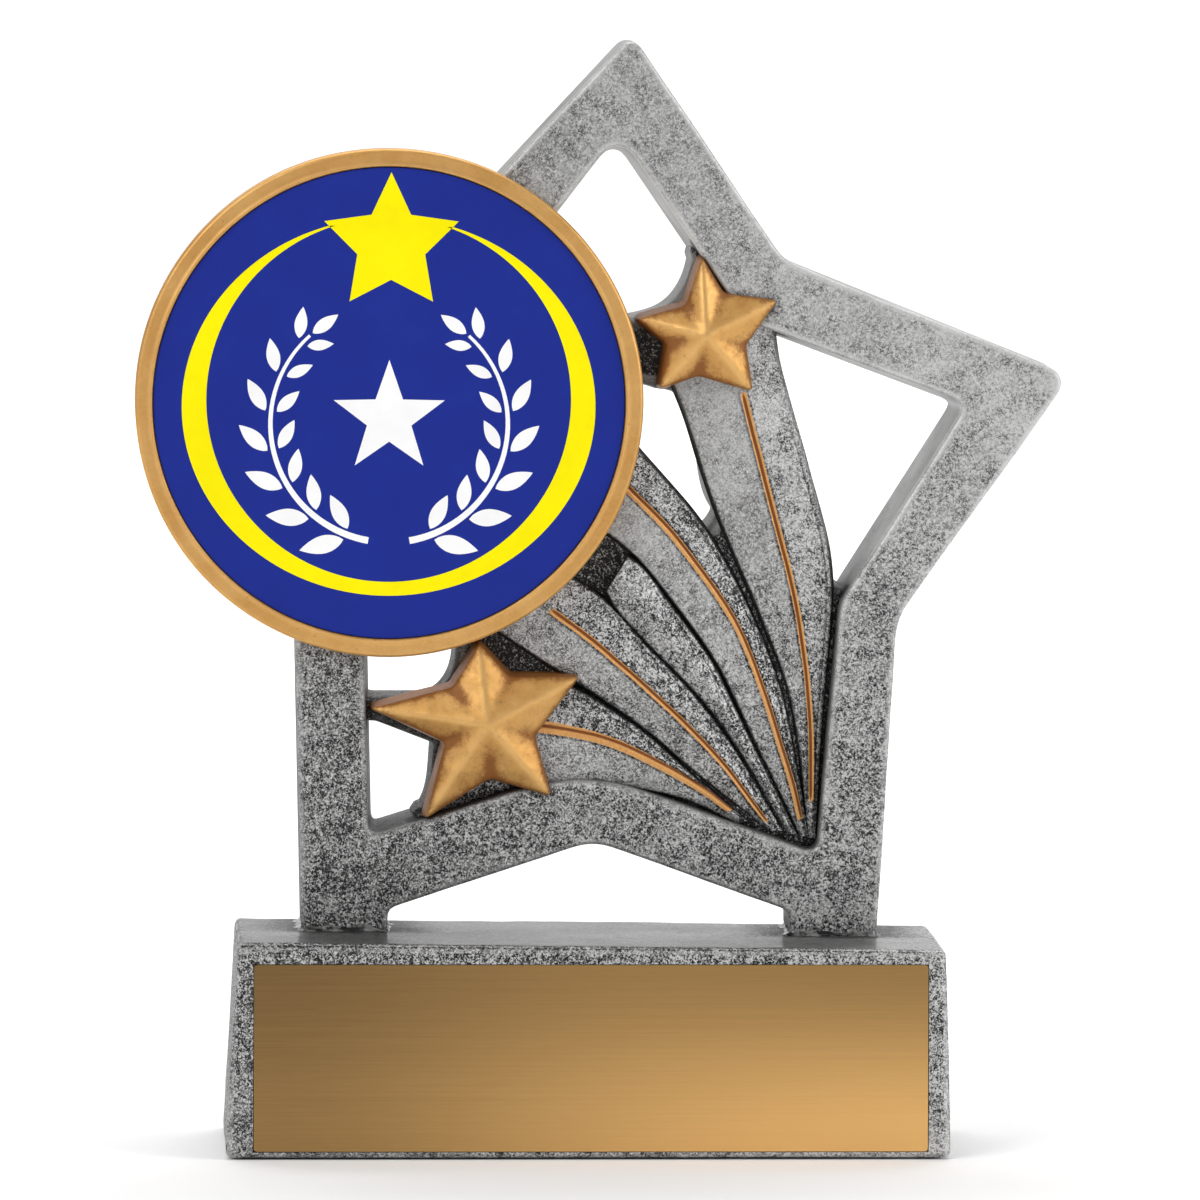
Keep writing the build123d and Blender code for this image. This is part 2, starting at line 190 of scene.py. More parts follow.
# Raised lips beside the groove, the crease along the valley, and the skirts under the edges
LIP_HEIGHT = 0.05
CREASE_DEPTH = 0.10
SKIRT_DEPTH = 0.5

# Rim mark where there is no rim near, and a length that counts as nothing
NO_RIM = 9.0
TINY = 1e-6

# Small stars: the middle, then each tip and the inner corner that follows it, clockwise from the top
UPPER_STAR = (
    (12.6, 86.6),
    [(12.2, 94.8), (14.6, 90.9), (20.3, 90.1), (16.9, 85.4), (17.7, 80.5),
     (11.9, 82.2), (7.8, 80.7), (8.6, 85.6), (5.4, 88.2), (10.5, 89.7)],
)
LOWER_STAR = (
    (-10.4, 45.1),
    [(-11.3, 53.6), (-8.0, 50.0), (-0.7, 50.0), (-5.4, 43.7), (-3.6, 37.2),
     (-10.0, 39.2), (-17.0, 34.8), (-14.9, 43.0), (-22.9, 46.6), (-14.1, 48.9)],
)

# Left and right end of each foot
LEFT_FOOT = (-30.1, -20.9)
RIGHT_FOOT = (22.0, 31.3)

# Plinth: its top's height in the middle and half its size there, how far the top falls in a millimetre
# to the right, how far the draft shifts it to the right, and the depth of the recess behind the plate
PLINTH_TOP_Z = 22.5
TOP_HALF_X, TOP_HALF_Y = 37.4, 13.1
TOP_FALL = 0.8 / (2 * TOP_HALF_X)
TOP_SHIFT = 0.35
PLATE_RECESS = 0.7


def top_height(x):
    """Height of the plinth's top, which falls a little from left to right."""
    return PLINTH_TOP_Z - x * TOP_FALL


# ---------------------------------------------------------------- sizes and colours

def length(name, description, millimetres):
    """Length property with its default in metres."""
    return bpy.props.FloatProperty(
        name=name, description=description, default=millimetres * MM, min=0, unit="LENGTH"
    )


def colour(name, description, rgb):
    """Colour property in scene linear values."""
    return bpy.props.FloatVectorProperty(
        name=name, description=description, default=rgb, size=3, min=0, max=1, subtype="COLOR"
    )


class TrophySizes(bpy.types.PropertyGroup):
    """Sizes of the casting's finish and of the studio."""

    frame_rounding: length("Frame rounding", "Radius of the star frame's front edges", 0.45)
    panel_rounding: length("Panel rounding", "Radius of the trail panel's front edges", 1.5)
    star_rounding: length("Star rounding", "Radius of the small stars' outer edges", 0.35)
    waviness: length("Waviness", "How far the hand-cast surfaces wander", 0.11)
    groove_depth: length("Groove depth", "Depth of the gilt grooves on the trails", 0.22)
    grain: length("Grain", "Size of the stipple's grains", 0.19)
    leaf_length: length("Leaf length", "Length of a laurel leaf on the medallion", 4.8)
    ink_thickness: length("Ink thickness", "Height of the artwork above the film", 0.03)
    camera_distance: length("Camera distance", "From the camera to the middle of the trophy", 1151.5)
    camera_lens: bpy.props.FloatProperty(
        name="Lens", description="Focal length on a 36 mm sensor", default=324.6, unit="CAMERA"
    )


class TrophyColours(bpy.types.PropertyGroup):
    """Colours of the paints, prints and layers."""

    silver: colour("Silver", "Antique silver paint", (0.25, 0.25, 0.247))
    # Light silver, which also carries the painted light and the painted highlights
    silver_light_and_painted_light: colour("Light silver", "Silver paint where it is rubbed clean", (0.62, 0.62, 0.615))
    # Black wash, which also carries the painted shade on the silver
    black_wash_and_shade: colour("Black wash", "Dark wash in the stipple and the recesses", (0.010, 0.010, 0.010))
    gold: colour("Gold", "Antique gold paint", (0.57, 0.285, 0.074))
    # Light gold, which also paints the highlights along the ridges
    gold_light_and_highlight: colour("Light gold", "Gold paint on the ridges", (0.78, 0.48, 0.18))
    # Brown wash, which also carries the painted shade on the gold
    brown_wash_and_shade: colour("Brown wash", "Brown wash in the gold's hollows", (0.21, 0.068, 0.014))
    gilt: colour("Gilt", "Gold line on the trails", (0.88, 0.45, 0.15))
    # Brown painted shade in the groove of the gold line
    gilt_groove_shade: colour("Gilt groove", "Dark middle of the gold line", (0.19, 0.052, 0.011))
    plate: colour("Plate", "Brushed gold plate", (0.42, 0.245, 0.085))
    film: colour("Film", "Blue printed film", (0.013, 0.028, 0.27))
    ink_yellow: colour("Yellow ink", "Ring and star on the medallion", (0.99, 0.86, 0.0))
    ink_white: colour("White ink", "Laurel on the medallion", (0.95, 0.95, 0.95))
    styrene: colour("Styrene", "Backing of the printed film", (0.80, 0.80, 0.78))
    tape: colour("Tape", "Foam tape", (0.78, 0.78, 0.75))
    felt: colour("Felt", "Felt under the plinth", (0.012, 0.012, 0.014))
    glue: colour("Glue", "Painted glue round the feet", (0.20, 0.20, 0.195))
    steel: colour("Steel", "Pins inside the feet", (0.48, 0.48, 0.50))
    floor: colour("Floor", "Studio floor", (0.93, 0.93, 0.93))


def sizes():
    """Sizes that the operators read."""
    return bpy.context.scene.trophy_sizes


def colours():
    """Colours that the operators read."""
    return bpy.context.scene.trophy_colours


# ---------------------------------------------------------------- outlines

def face_loops(node, level):
    """Closed outlines of a CAD node's flat face at one depth, as arrays of X and Z in millimetres."""
    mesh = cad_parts[node].data
    keys = [tuple(round(value / MM, 3) for value in vertex.co) for vertex in mesh.vertices]
    edges = {}
    for polygon in mesh.polygons:
        corners = [keys[index] for index in polygon.vertices]
        if any(abs(corner[1] - level) > 0.01 for corner in corners):
            continue
        for start, end in zip(corners, corners[1:] + corners[:1]):
            if start == end:
                continue
            if (end, start) in edges:
                del edges[(end, start)]
            else:
                edges[(start, end)] = True
    follow = {start: end for start, end in edges}
    loops = []
    while follow:
        start, here = follow.popitem()
        loop = [start]
        while here != start:
            loop.append(here)
            here = follow.pop(here)
        loops.append(np.array([(corner[0], corner[2]) for corner in loop]))
    return sorted(loops, key=lambda loop: -abs(signed_area(loop)))


def signed_area(loop):
    """Area of a closed outline, positive when it runs anticlockwise."""
    after = np.roll(loop, -1, axis=0)
    return float((loop[:, 0] * after[:, 1] - after[:, 0] * loop[:, 1]).sum() / 2)


def turned(loop, anticlockwise):
    """The outline in the wanted direction."""
    return loop if (signed_area(loop) > 0) == anticlockwise else loop[::-1]


def resampled(loop, step):
    """Closed outline with evenly spaced points about one step apart."""
    closed = np.vstack([loop, loop[:1]])
    travelled = np.concatenate([[0], np.cumsum(np.linalg.norm(np.diff(closed, axis=0), axis=1))])
    count = max(int(round(travelled[-1] / step)), 8)
    wanted = np.arange(count) * travelled[-1] / count
    return np.column_stack([np.interp(wanted, travelled, closed[:, axis]) for axis in (0, 1)])


def relaxed(loop, rounds):
    """Closed outline with its kinks eased."""
    for _ in range(rounds):
        loop = loop / 2 + (np.roll(loop, 1, axis=0) + np.roll(loop, -1, axis=0)) / 4
    return loop


def inward_normals(loop):
    """Unit normals to the left of the outline's direction, which is the side that holds material."""
    along = np.roll(loop, -1, axis=0) - np.roll(loop, 1, axis=0)
    normals = np.column_stack([-along[:, 1], along[:, 0]])
    return normals / np.linalg.norm(normals, axis=1)[:, None]


def edge_distance(points, loops, chunk=1500):
    """Distance from each point to the nearest outline."""
    starts = np.concatenate(loops)
    along = np.concatenate([np.roll(loop, -1, axis=0) - loop for loop in loops])
    squared = (along ** 2).sum(1)
    found = np.empty(len(points))
    for first in range(0, len(points), chunk):
        gap = points[first:first + chunk, None, :] - starts[None]
        share = np.clip((gap * along).sum(2) / squared, 0, 1)
        off = gap - share[..., None] * along
        found[first:first + chunk] = np.sqrt((off ** 2).sum(2).min(1))
    return found


def inside(points, loops):
    """Which points lie within the outlines, with inner outlines as holes."""
    odd = np.zeros(len(points), bool)
    for loop in loops:
        for (x0, z0), (x1, z1) in zip(loop, np.roll(loop, -1, axis=0)):
            if z0 == z1:
                continue
            crosses = (points[:, 1] < z0) != (points[:, 1] < z1)
            where = x0 + (points[:, 1] - z0) * (x1 - x0) / (z1 - z0)
            odd ^= crosses & (points[:, 0] < where)
    return odd


def smooth_curve(points, count):
    """Catmull-Rom curve through the points, as evenly spaced samples."""
    points = np.array(points, float)
    padded = np.vstack([2 * points[0] - points[1], points, 2 * points[-1] - points[-2]])
    dense = []
    for before, start, end, after in zip(padded, padded[1:], padded[2:], padded[3:]):
        for share in np.linspace(0, 1, 24, endpoint=False):
            dense.append(
                0.5 * (
                    2 * start
                    + (end - before) * share
                    + (2 * before - 5 * start + 4 * end - after) * share ** 2
                    + (3 * start - before - 3 * end + after) * share ** 3
                )
            )
    dense = np.vstack(dense + [points[-1]])
    travelled = np.concatenate([[0], np.cumsum(np.linalg.norm(np.diff(dense, axis=0), axis=1))])
    wanted = np.linspace(0, travelled[-1], count)
    return np.column_stack([np.interp(wanted, travelled, dense[:, axis]) for axis in (0, 1)])


def smoothstep(low, high, values):
    """Smooth rise from 0 to 1 between two values."""
    share = np.clip((values - low) / (high - low), 0, 1)
    return share * share * (3 - 2 * share)


def wander(points, size, seed):
    """Smooth noise from -1 to 1 at each point, with features of the given size."""
    shift = Vector((seed * 7.31, seed * 3.17, seed * 5.73))
    return np.array([noise.noise(Vector(point) / size + shift) for point in points])


# ---------------------------------------------------------------- meshes

# The vector noise takes its offsets from the clock unless a seed is set
WAVINESS_SEED = 5


def cast_waviness(points):
    """Hand-cast wander, the same for every casting so that neighbours stay joined.

    It fades out at the flat back and at the feet.
    """
    amount = sizes().waviness / MM
    noise.seed_set(WAVINESS_SEED)
    broad = np.array([noise.noise_vector(Vector(point) / 11) for point in points])
    fine = np.array([noise.noise_vector(Vector(point) / 3.5 + Vector((9, 5, 2))) for point in points])
    keep = 1 - smoothstep(FRAME_BACK - 2.5, FRAME_BACK - 0.3, points[:, 1])
    keep *= smoothstep(PLINTH_TOP_Z, PLINTH_TOP_Z + 2.5, points[:, 2])
    return points + (broad * amount + fine * amount * 0.3) * keep[:, None]


def new_piece(name, points, faces, material, stands_for=(), marks=None, sharp=35):
    """Mesh piece on the root body, from points in millimetres, with its painting marks as attributes."""
    low, high = (np.array(corner) / MM for corner in CAD_BOX)
    points = np.clip(points, low, high)
    mesh = bpy.data.meshes.new(name)
    mesh.from_pydata((points * MM).tolist(), [], [list(map(int, face)) for face in faces])
    mesh.validate()
    for label, values in (marks or {}).items():
        layer = mesh.attributes.new(label, "FLOAT", "POINT")
        layer.data.foreach_set("value", np.asarray(values, np.float32))
    mesh.polygons.foreach_set("use_smooth", [True] * len(mesh.polygons))
    mesh.set_sharp_from_angle(angle=math.radians(sharp))
    mesh.materials.append(material)
    piece = bpy.data.objects.new(name, mesh)
    bpy.context.scene.collection.objects.link(piece)
    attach(piece, BODY)
    if stands_for:
        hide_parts(*stands_for)
    return piece


def dress(node, material):
    """Give a CAD node its finished material."""
    cad_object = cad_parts[node]
    cad_object.data.materials.clear()
    cad_object.data.materials.append(material)
    return cad_object


# Area in square millimetres under which a triangle is a sliver along a straight outline
SLIVER_AREA = 1e-6


def triangulate(points, loops):
    """Triangles between the outlines through all the points, anticlockwise, and each point's new index."""
    edges = []
    first = 0
    for loop in loops:
        count = len(loop)
        edges += [(first + index, first + (index + 1) % count) for index in range(count)]
        first += count
    flat = [Vector(point) for point in points]
    corners, _, faces, sources, _, _ = geometry.delaunay_2d_cdt(flat, edges, [], 0, 1e-5)
    corners = np.array([tuple(corner) for corner in corners])
    faces = np.array([face for face in faces if len(face) == 3])
    faces = faces[inside(corners[faces].mean(axis=1), loops)]
    start, second, third = (corners[faces[:, index]] for index in range(3))
    along, across = second - start, third - start
    area = (along[:, 0] * across[:, 1] - along[:, 1] * across[:, 0]) / 2
    faces = faces[area > SLIVER_AREA]
    new_index = {old: new for new, olds in enumerate(sources) for old in olds}
    return corners, faces, [new_index[index] for index in range(first)]


# Distance between the rows of an even triangle grid, as a share of its spacing
HEX_ROW = 0.866


def relief_plan(loops, rounding, grid):
    """Places for a relief's points: the outlines, rows that round their edges, and an even inner grid."""
    steps = np.radians([14, 28, 42, 56, 73, 90])
    inner_row = rounding * 1.6
    rows = [rounding * (1 - math.cos(angle)) for angle in steps] + [inner_row]
    candidates = [loop + inward_normals(loop) * row for loop in loops for row in rows]
    wanted = np.concatenate([np.full(len(loop), row) for loop in loops for row in rows])
    candidates = np.concatenate(candidates)
    found = edge_distance(candidates, loops)
    candidates = candidates[np.abs(found - wanted) < 0.08 * wanted + 0.004]
    low, high = np.concatenate(loops).min(0), np.concatenate(loops).max(0)
    hexes = []
    for index, line in enumerate(np.arange(low[1], high[1], grid * HEX_ROW)):
        row = np.arange(low[0] + (index % 2) * grid / 2, high[0], grid)
        hexes.append(np.column_stack([row, np.full(len(row), line)]))
    hexes = np.concatenate(hexes)
    hexes = hexes[inside(hexes, loops)]
    hexes = hexes[edge_distance(hexes, loops) > inner_row + grid * 0.4]
    return np.concatenate(loops + [candidates[inside(candidates, loops)], hexes])


def relief(loops, front, back, rounding, lean, grid, wall_rows=8, back_bevel=0.2):
    """Thick plate between outlines, with a shaped front, rounded front edges and a flat back.

    loops hold material on their left; front gives the depth of the front surface; lean is how far
    each outline's wall spreads from front to back. Returns the points, the faces, each point's
    distance from the nearest front edge, and 1 on the walls and the back.
    """
    plan, faces, rim_index = triangulate(relief_plan(loops, rounding, grid), loops)

    distance = edge_distance(plan, loops)
    near = np.clip(rounding - distance, 0, rounding)
    drop = rounding - np.sqrt(rounding ** 2 - near ** 2)
    depth = front(plan) + drop
    points = [np.column_stack([plan[:, 0], depth, plan[:, 1]])]
    all_faces = [tuple(face) for face in faces]
    marks = [np.zeros(len(plan))]
    total = len(plan)

    back_rings = []
    first = 0
    for loop, spread in zip(loops, lean):
        count = len(loop)
        outward = -inward_normals(loop)
        ring = np.array(rim_index[first:first + count])
        first += count
        rim_depth = depth[ring]
        for row in range(1, wall_rows + 2):
            share = min(row / wall_rows, 1)
            sideways = spread * share - (back_bevel if row > wall_rows else 0)
            place = loop + outward * sideways
            deep = rim_depth + (back - back_bevel - rim_depth) * share
            if row > wall_rows:
                deep = np.full(count, back)
            points.append(np.column_stack([place[:, 0], deep, place[:, 1]]))
            marks.append(np.ones(count))
            next_ring = total + np.arange(count)
            total += count
            after, next_after = np.roll(ring, -1), np.roll(next_ring, -1)
            all_faces += list(zip(ring, next_ring, next_after, after))
            ring = next_ring
        back_rings.append((place, ring))

    back_loops = [place for place, _ in back_rings]
    ring_index = np.concatenate([ring for _, ring in back_rings])
    _, back_faces, moved = triangulate(np.concatenate(back_loops), back_loops)
    where = {new: ring_index[old] for old, new in enumerate(moved)}
    all_faces += [tuple(where[index] for index in face[::-1]) for face in back_faces]
    points = np.concatenate(points)
    far = np.concatenate([distance, np.zeros(total - len(plan))])
    return points, all_faces, far, np.concatenate(marks)


def under_ring(plan, margin):
    """1 well inside the medallion holder's outline and 0 outside it."""
    reach = np.linalg.norm(plan - RING_CENTRE, axis=1)
    return 1 - smoothstep(RING_RADIUS - margin - 0.3, RING_RADIUS - margin, reach)


def frame_loops():
    """The star frame's outer and inner outline on its front face."""
    outer, inner = face_loops("star_frame", FRAME_BACK)[:2]
    outer = turned(resampled(outer, 0.5), True)
    inner = turned(resampled(inner, 0.5), False)
    inner = inner + inward_normals(inner) * INNER_WALL_LEAN
    return relaxed(resampled(outer, 0.5), 1), relaxed(resampled(inner, 0.5), 2)


# ---------------------------------------------------------------- node helpers

class Wiring:
    """Adds nodes to one node tree and joins them."""

    def __init__(self, tree):
        self.tree = tree

    def node(self, kind, inputs=(), **settings):
        """New node with its settings and its inputs, each a value or another node's socket."""
        made = self.tree.nodes.new(kind)
        for label, value in settings.items():
            setattr(made, label, value)
        for key, value in dict(inputs).items():
            self.feed(made.inputs[key], value)
        return made

    def feed(self, socket, value):
        """Set one input to a value, or join it to a socket."""
        if isinstance(value, bpy.types.NodeSocket):
            self.tree.links.new(value, socket)
        elif socket.type == "RGBA" and len(value) == 3:
            socket.default_value = (*value, 1)
        else:
            socket.default_value = value

    def math(self, operation, first, second=0.0, third=0.0, clamp=False):
        """Result of one Math node."""
        made = self.node("ShaderNodeMath", {0: first, 1: second, 2: third}, operation=operation)
        made.use_clamp = clamp
        return made.outputs[0]

    def between(self, value, low, high, start=0.0, end=1.0):
        """Smooth change from start to end while the value goes from low to high."""
        made = self.node(
            "ShaderNodeMapRange",
            {"Value": value, "From Min": low, "From Max": high, "To Min": start, "To Max": end},
            interpolation_type="SMOOTHSTEP",
        )
        return made.outputs["Result"]

    def mix(self, share, first, second):
        """Mix of two colours."""
        made = self.node("ShaderNodeMix", data_type="RGBA")
        self.feed(made.inputs["Factor"], share)
        for socket in made.inputs:
            if socket.type == "RGBA" and socket.name == "A":
                self.feed(socket, first)
            if socket.type == "RGBA" and socket.name == "B":
                self.feed(socket, second)
        return [socket for socket in made.outputs if socket.type == "RGBA"][0]

    def attribute(self, label):
        """Value of one painting mark."""
        return self.node("ShaderNodeAttribute", attribute_name=label).outputs["Fac"]

    def noise(self, place, scale, detail, roughness, distortion=0.0):
        """Value of one Noise Texture node."""
        made = self.node(
            "ShaderNodeTexNoise",
            {"Vector": place, "Scale": scale, "Detail": detail, "Roughness": roughness,
             "Distortion": distortion},
        )
        return made.outputs["Fac"]

    def scaled(self, place, scale):
        """Place stretched by a scale for each direction."""
        made = self.node("ShaderNodeVectorMath", {0: place, 1: scale}, operation="MULTIPLY")
        return made.outputs["Vector"]


def shader_group(name, inputs, outputs, build):
    """Node group made once, with float or colour sockets, and filled by the build function."""
    found = bpy.data.node_groups.get(name)
    if found:
        return found
    group = bpy.data.node_groups.new(name, "ShaderNodeTree")
    for label, kind, default in inputs:
        socket = group.interface.new_socket(label, in_out="INPUT", socket_type=kind)
        if default is not None:
            socket.default_value = default
    for label, kind in outputs:
        group.interface.new_socket(label, in_out="OUTPUT", socket_type=kind)
    wiring = Wiring(group)
    source = wiring.node("NodeGroupInput").outputs
    results = build(wiring, source)
    target = wiring.node("NodeGroupOutput").inputs
    for label, socket in results.items():
        wiring.feed(target[label], socket)
    return group


FLOAT = "NodeSocketFloat"
VECTOR = "NodeSocketVector"


def stipple_group():
    """Fine grains from about -1 to 1, their height for bump, and thin winding brush strokes."""
    def build(wiring, source):
        place = source["Place"]
        grain_scale = wiring.math("DIVIDE", 1.0, source["Grain"])
        coarse_scale = wiring.math("MULTIPLY", grain_scale, 0.45)
        winding_scale = wiring.math("MULTIPLY", grain_scale, 0.5)
        fine = wiring.noise(place, grain_scale, detail=2.0, roughness=0.6, distortion=0.8)
        coarse = wiring.noise(place, coarse_scale, detail=2.0, roughness=0.55, distortion=1.0)
        winding = wiring.noise(place, winding_scale, detail=1.0, roughness=0.5, distortion=2.2)
        both = wiring.math("ADD", wiring.math("MULTIPLY", fine, 0.6), wiring.math("MULTIPLY", coarse, 0.4))
        grains = wiring.math("MULTIPLY_ADD", both, 6.0, -3.0)
        off_line = wiring.math("ABSOLUTE", wiring.math("SUBTRACT", winding, 0.5))
        strokes = wiring.between(off_line, 0.012, 0.040, 1.0, 0.0)
        return {"Grains": grains, "Height": both, "Strokes": strokes}

    return shader_group(
        "Stipple",
        [("Place", VECTOR, None), ("Grain", FLOAT, 0.0003)],
        [("Grains", FLOAT), ("Height", FLOAT), ("Strokes", FLOAT)],
        build,
    )


def patches_group():
    """Slow variation across a casting, from 0 to 1."""
    def build(wiring, source):
        scale = wiring.math("DIVIDE", 1.0, source["Size"])
        slow = wiring.noise(source["Place"], scale, detail=3.0, roughness=0.6)
        return {"Value": wiring.between(slow, 0.3, 0.7)}

    return shader_group(
        "Patches", [("Place", VECTOR, None), ("Size", FLOAT, 0.008)], [("Value", FLOAT)], build
    )


def edge_wear_and_highlight_group():
    """Clean band along an edge, wiped paint with a painted highlight on its rounding, that breaks up into the
    grains.
    """
    def build(wiring, source):
        ragged = wiring.math("MULTIPLY_ADD", source["Grains"], source["Raggedness"], source["Distance"])
        outer_width = wiring.math("MULTIPLY", source["Width"], 1.9)
        return {"Mask": wiring.between(ragged, source["Width"], outer_width, 1.0, 0.0)}

    return shader_group(
        "Edge wear and highlight",
        [("Distance", FLOAT, 1.0), ("Width", FLOAT, 0.5), ("Grains", FLOAT, 0.5), ("Raggedness", FLOAT, 0.5)],
        [("Mask", FLOAT)],
        build,
    )


def speckle_group():
    """Sparse dark specks and pits."""
    def build(wiring, source):
        scale = wiring.math("DIVIDE", 1.0, source["Spacing"])
        cells = wiring.node("ShaderNodeTexVoronoi", {"Vector": source["Place"], "Scale": scale})
        dots = wiring.between(cells.outputs["Distance"], 0.05, 0.16, 1.0, 0.0)
        chosen = wiring.node("ShaderNodeSeparateColor", {"Color": cells.outputs["Color"]}).outputs[0]
        some = wiring.between(chosen, wiring.math("SUBTRACT", 1.0, source["Share"]), 1.0)
        return {"Mask": wiring.math("MULTIPLY", dots, some)}

    return shader_group(
        "Speckle",
        [("Place", VECTOR, None), ("Spacing", FLOAT, 0.001), ("Share", FLOAT, 0.3)],
        [("Mask", FLOAT)],
        build,
    )


def brushed_group():
    """Fine lines along X, as from a brushing belt."""
    def build(wiring, source):
        long_place = wiring.scaled(source["Place"], (22.0, 22.0, 5200.0))
        short_place = wiring.scaled(source["Place"], (260.0, 260.0, 9000.0))
        lines = wiring.noise(long_place, 1.0, detail=3.0, roughness=0.7)
        ticks = wiring.noise(short_place, 1.0, detail=2.0, roughness=0.6)
        both = wiring.math("ADD", wiring.math("MULTIPLY", lines, 0.6), wiring.math("MULTIPLY", ticks, 0.4))
        return {"Value": wiring.between(both, 0.3, 0.7)}

    return shader_group("Brushed lines", [("Place", VECTOR, None)], [("Value", FLOAT)], build)


def new_material(name):
    """Empty material with its Principled shader, its wiring and the place on the object."""
    material = bpy.data.materials.new(name)
    material.use_nodes = True
    material.node_tree.nodes.clear()
    wiring = Wiring(material.node_tree)
    shader = wiring.node("ShaderNodeBsdfPrincipled")
    output = wiring.node("ShaderNodeOutputMaterial", {"Surface": shader.outputs[0]})
    output.location = (300, 0)
    place = wiring.node("ShaderNodeTexCoord").outputs["Object"]
    return material, wiring, shader, place


def use_group(wiring, group, **inputs):
    """Outputs of one instance of a node group."""
    made = wiring.node("ShaderNodeGroup", node_tree=group)
    for label, value in inputs.items():
        wiring.feed(made.inputs[label.replace("_", " ")], value)
    return made.outputs


def bump(wiring, shader, height, distance_mm, strength):
    """Join a height to the shader's normal."""
    made = wiring.node(
        "ShaderNodeBump", {"Height": height, "Distance": distance_mm * MM, "Strength": strength}
    )
    wiring.feed(shader.inputs["Normal"], made.outputs["Normal"])


def material_once(name, build):
    """Material with this name, built the first time that it is asked for."""
    return bpy.data.materials.get(name) or build(name)


# ---------------------------------------------------------------- materials

# Antique silver: its tone and the strength of its stipple at two heights, with a smooth change between; on
# the star casting the tone's rise with height is painted light
CASTING_SILVER = {"tones": (0.46, 0.68), "grains": (1.12, 0.40), "heights": (26, 88)}
PLINTH_SILVER = {"tones": (0.60, 0.47), "grains": (0.85, 1.55), "heights": (0.5, 15)}

# How much each mark moves the silver's tone
# Painted light: the silver grows lighter to the right by this much for each metre
PAINTED_LIGHT_PER_METRE = 3.0
STROKE_TONE = 0.9
PATCH_TONE = 0.12
SMALL_PATCH_TONE = 0.16
# Lightening of the clean edge band: wiped paint and a painted highlight
CLEAN_EDGE_AND_HIGHLIGHT_TONE = 0.17
# Darkening by the black wash and by painted shade
WASH_AND_SHADE_TONE = 0.62
POLISH_TONE = 0.27

# The silver's stipple: how much more the brush mark gives, how much less the clean edges have, how
# smooth the walls and the plinth's top are, and how wide and ragged the clean edges are
BRUSH_GRAIN = 0.45
CLEAN_CALM = 0.55
WALL_SMOOTHNESS = 0.68
TOP_SMOOTHNESS = 0.88
TOP_COAT = 0.28
CLEAN_WIDTH = 0.34
CLEAN_RAGGEDNESS = 0.22

def silver_grain(wiring, casting, height, small_patches, clean, rough_area):
    """How strongly the stipple darkens and lightens the silver at each place."""
    low, high = (value * MM for value in casting["heights"])
    contrast = wiring.between(height, low, high, *casting["grains"])
    contrast = wiring.math("MULTIPLY_ADD", wiring.attribute("brush"), BRUSH_GRAIN, contrast)
    contrast = wiring.math("MULTIPLY", contrast, rough_area)
    contrast = wiring.math("MULTIPLY", contrast, wiring.math("MULTIPLY_ADD", clean, -CLEAN_CALM, 1.0))
    varied = wiring.math("MULTIPLY_ADD", small_patches, 0.75, 0.75)
    return wiring.math("MULTIPLY", contrast, varied)


def silver_tone(wiring, casting, place, stipple, clean, rough_area):
    """Tone of the silver: 0 is black wash and painted shade, 0.5 is silver and 1 is light silver and painted
    light.
    """
    parts = wiring.node("ShaderNodeSeparateXYZ", {"Vector": place}).outputs
    patches = use_group(wiring, patches_group(), Place=place, Size=9 * MM)["Value"]
    small_patches = use_group(wiring, patches_group(), Place=place, Size=2.2 * MM)["Value"]
    low, high = (value * MM for value in casting["heights"])
    contrast = silver_grain(wiring, casting, parts["Z"], small_patches, clean, rough_area)
    strokes = wiring.math("MULTIPLY", stipple["Strokes"], wiring.between(small_patches, 0.35, 0.85))
    darker_patch = wiring.math("MULTIPLY", wiring.math("SUBTRACT", small_patches, 0.5), contrast)
    # Tone by height: on the star casting this is painted light, lighter higher up
    tone = wiring.between(parts["Z"], low, high, *casting["tones"])
    # The X mark adds painted light, clean adds wiped edges with painted highlights, and the wash_and_shade
    # mark adds black wash and painted shade
    for mark, weight in (
        (parts["X"], PAINTED_LIGHT_PER_METRE),
        (wiring.math("MULTIPLY", stipple["Grains"], contrast), 1.0),
        (wiring.math("MULTIPLY", strokes, contrast), -STROKE_TONE),
        (wiring.math("SUBTRACT", patches, 0.5), PATCH_TONE),
        (darker_patch, -SMALL_PATCH_TONE),
        (clean, CLEAN_EDGE_AND_HIGHLIGHT_TONE),
        (wiring.attribute("wash_and_shade"), -WASH_AND_SHADE_TONE),
        (wiring.attribute("polish"), -POLISH_TONE),
    ):
        tone = wiring.math("MULTIPLY_ADD", mark, weight, tone)
    return tone


def with_gilt_line(wiring, surface, stipple, paint):
    """Surface colour with the gilt line and the brown painted shade of its groove over it."""
    shaken = wiring.math("MULTIPLY", stipple["Grains"], 0.10)
    gilt_mask = wiring.between(wiring.math("ADD", wiring.attribute("gilt"), shaken), 0.40, 0.60)
    groove_mask = wiring.between(wiring.math("ADD", wiring.attribute("groove"), shaken), 0.38, 0.66)
    gold_share = wiring.math("MULTIPLY_ADD", stipple["Grains"], 0.3, 0.6, clamp=True)
    gold_tone = wiring.mix(gold_share, [value * 0.42 for value in paint.gilt], paint.gilt)
    surface = wiring.mix(gilt_mask, surface, gold_tone)
    return wiring.mix(wiring.math("MULTIPLY", groove_mask, 0.9), surface, paint.gilt_groove_shade)


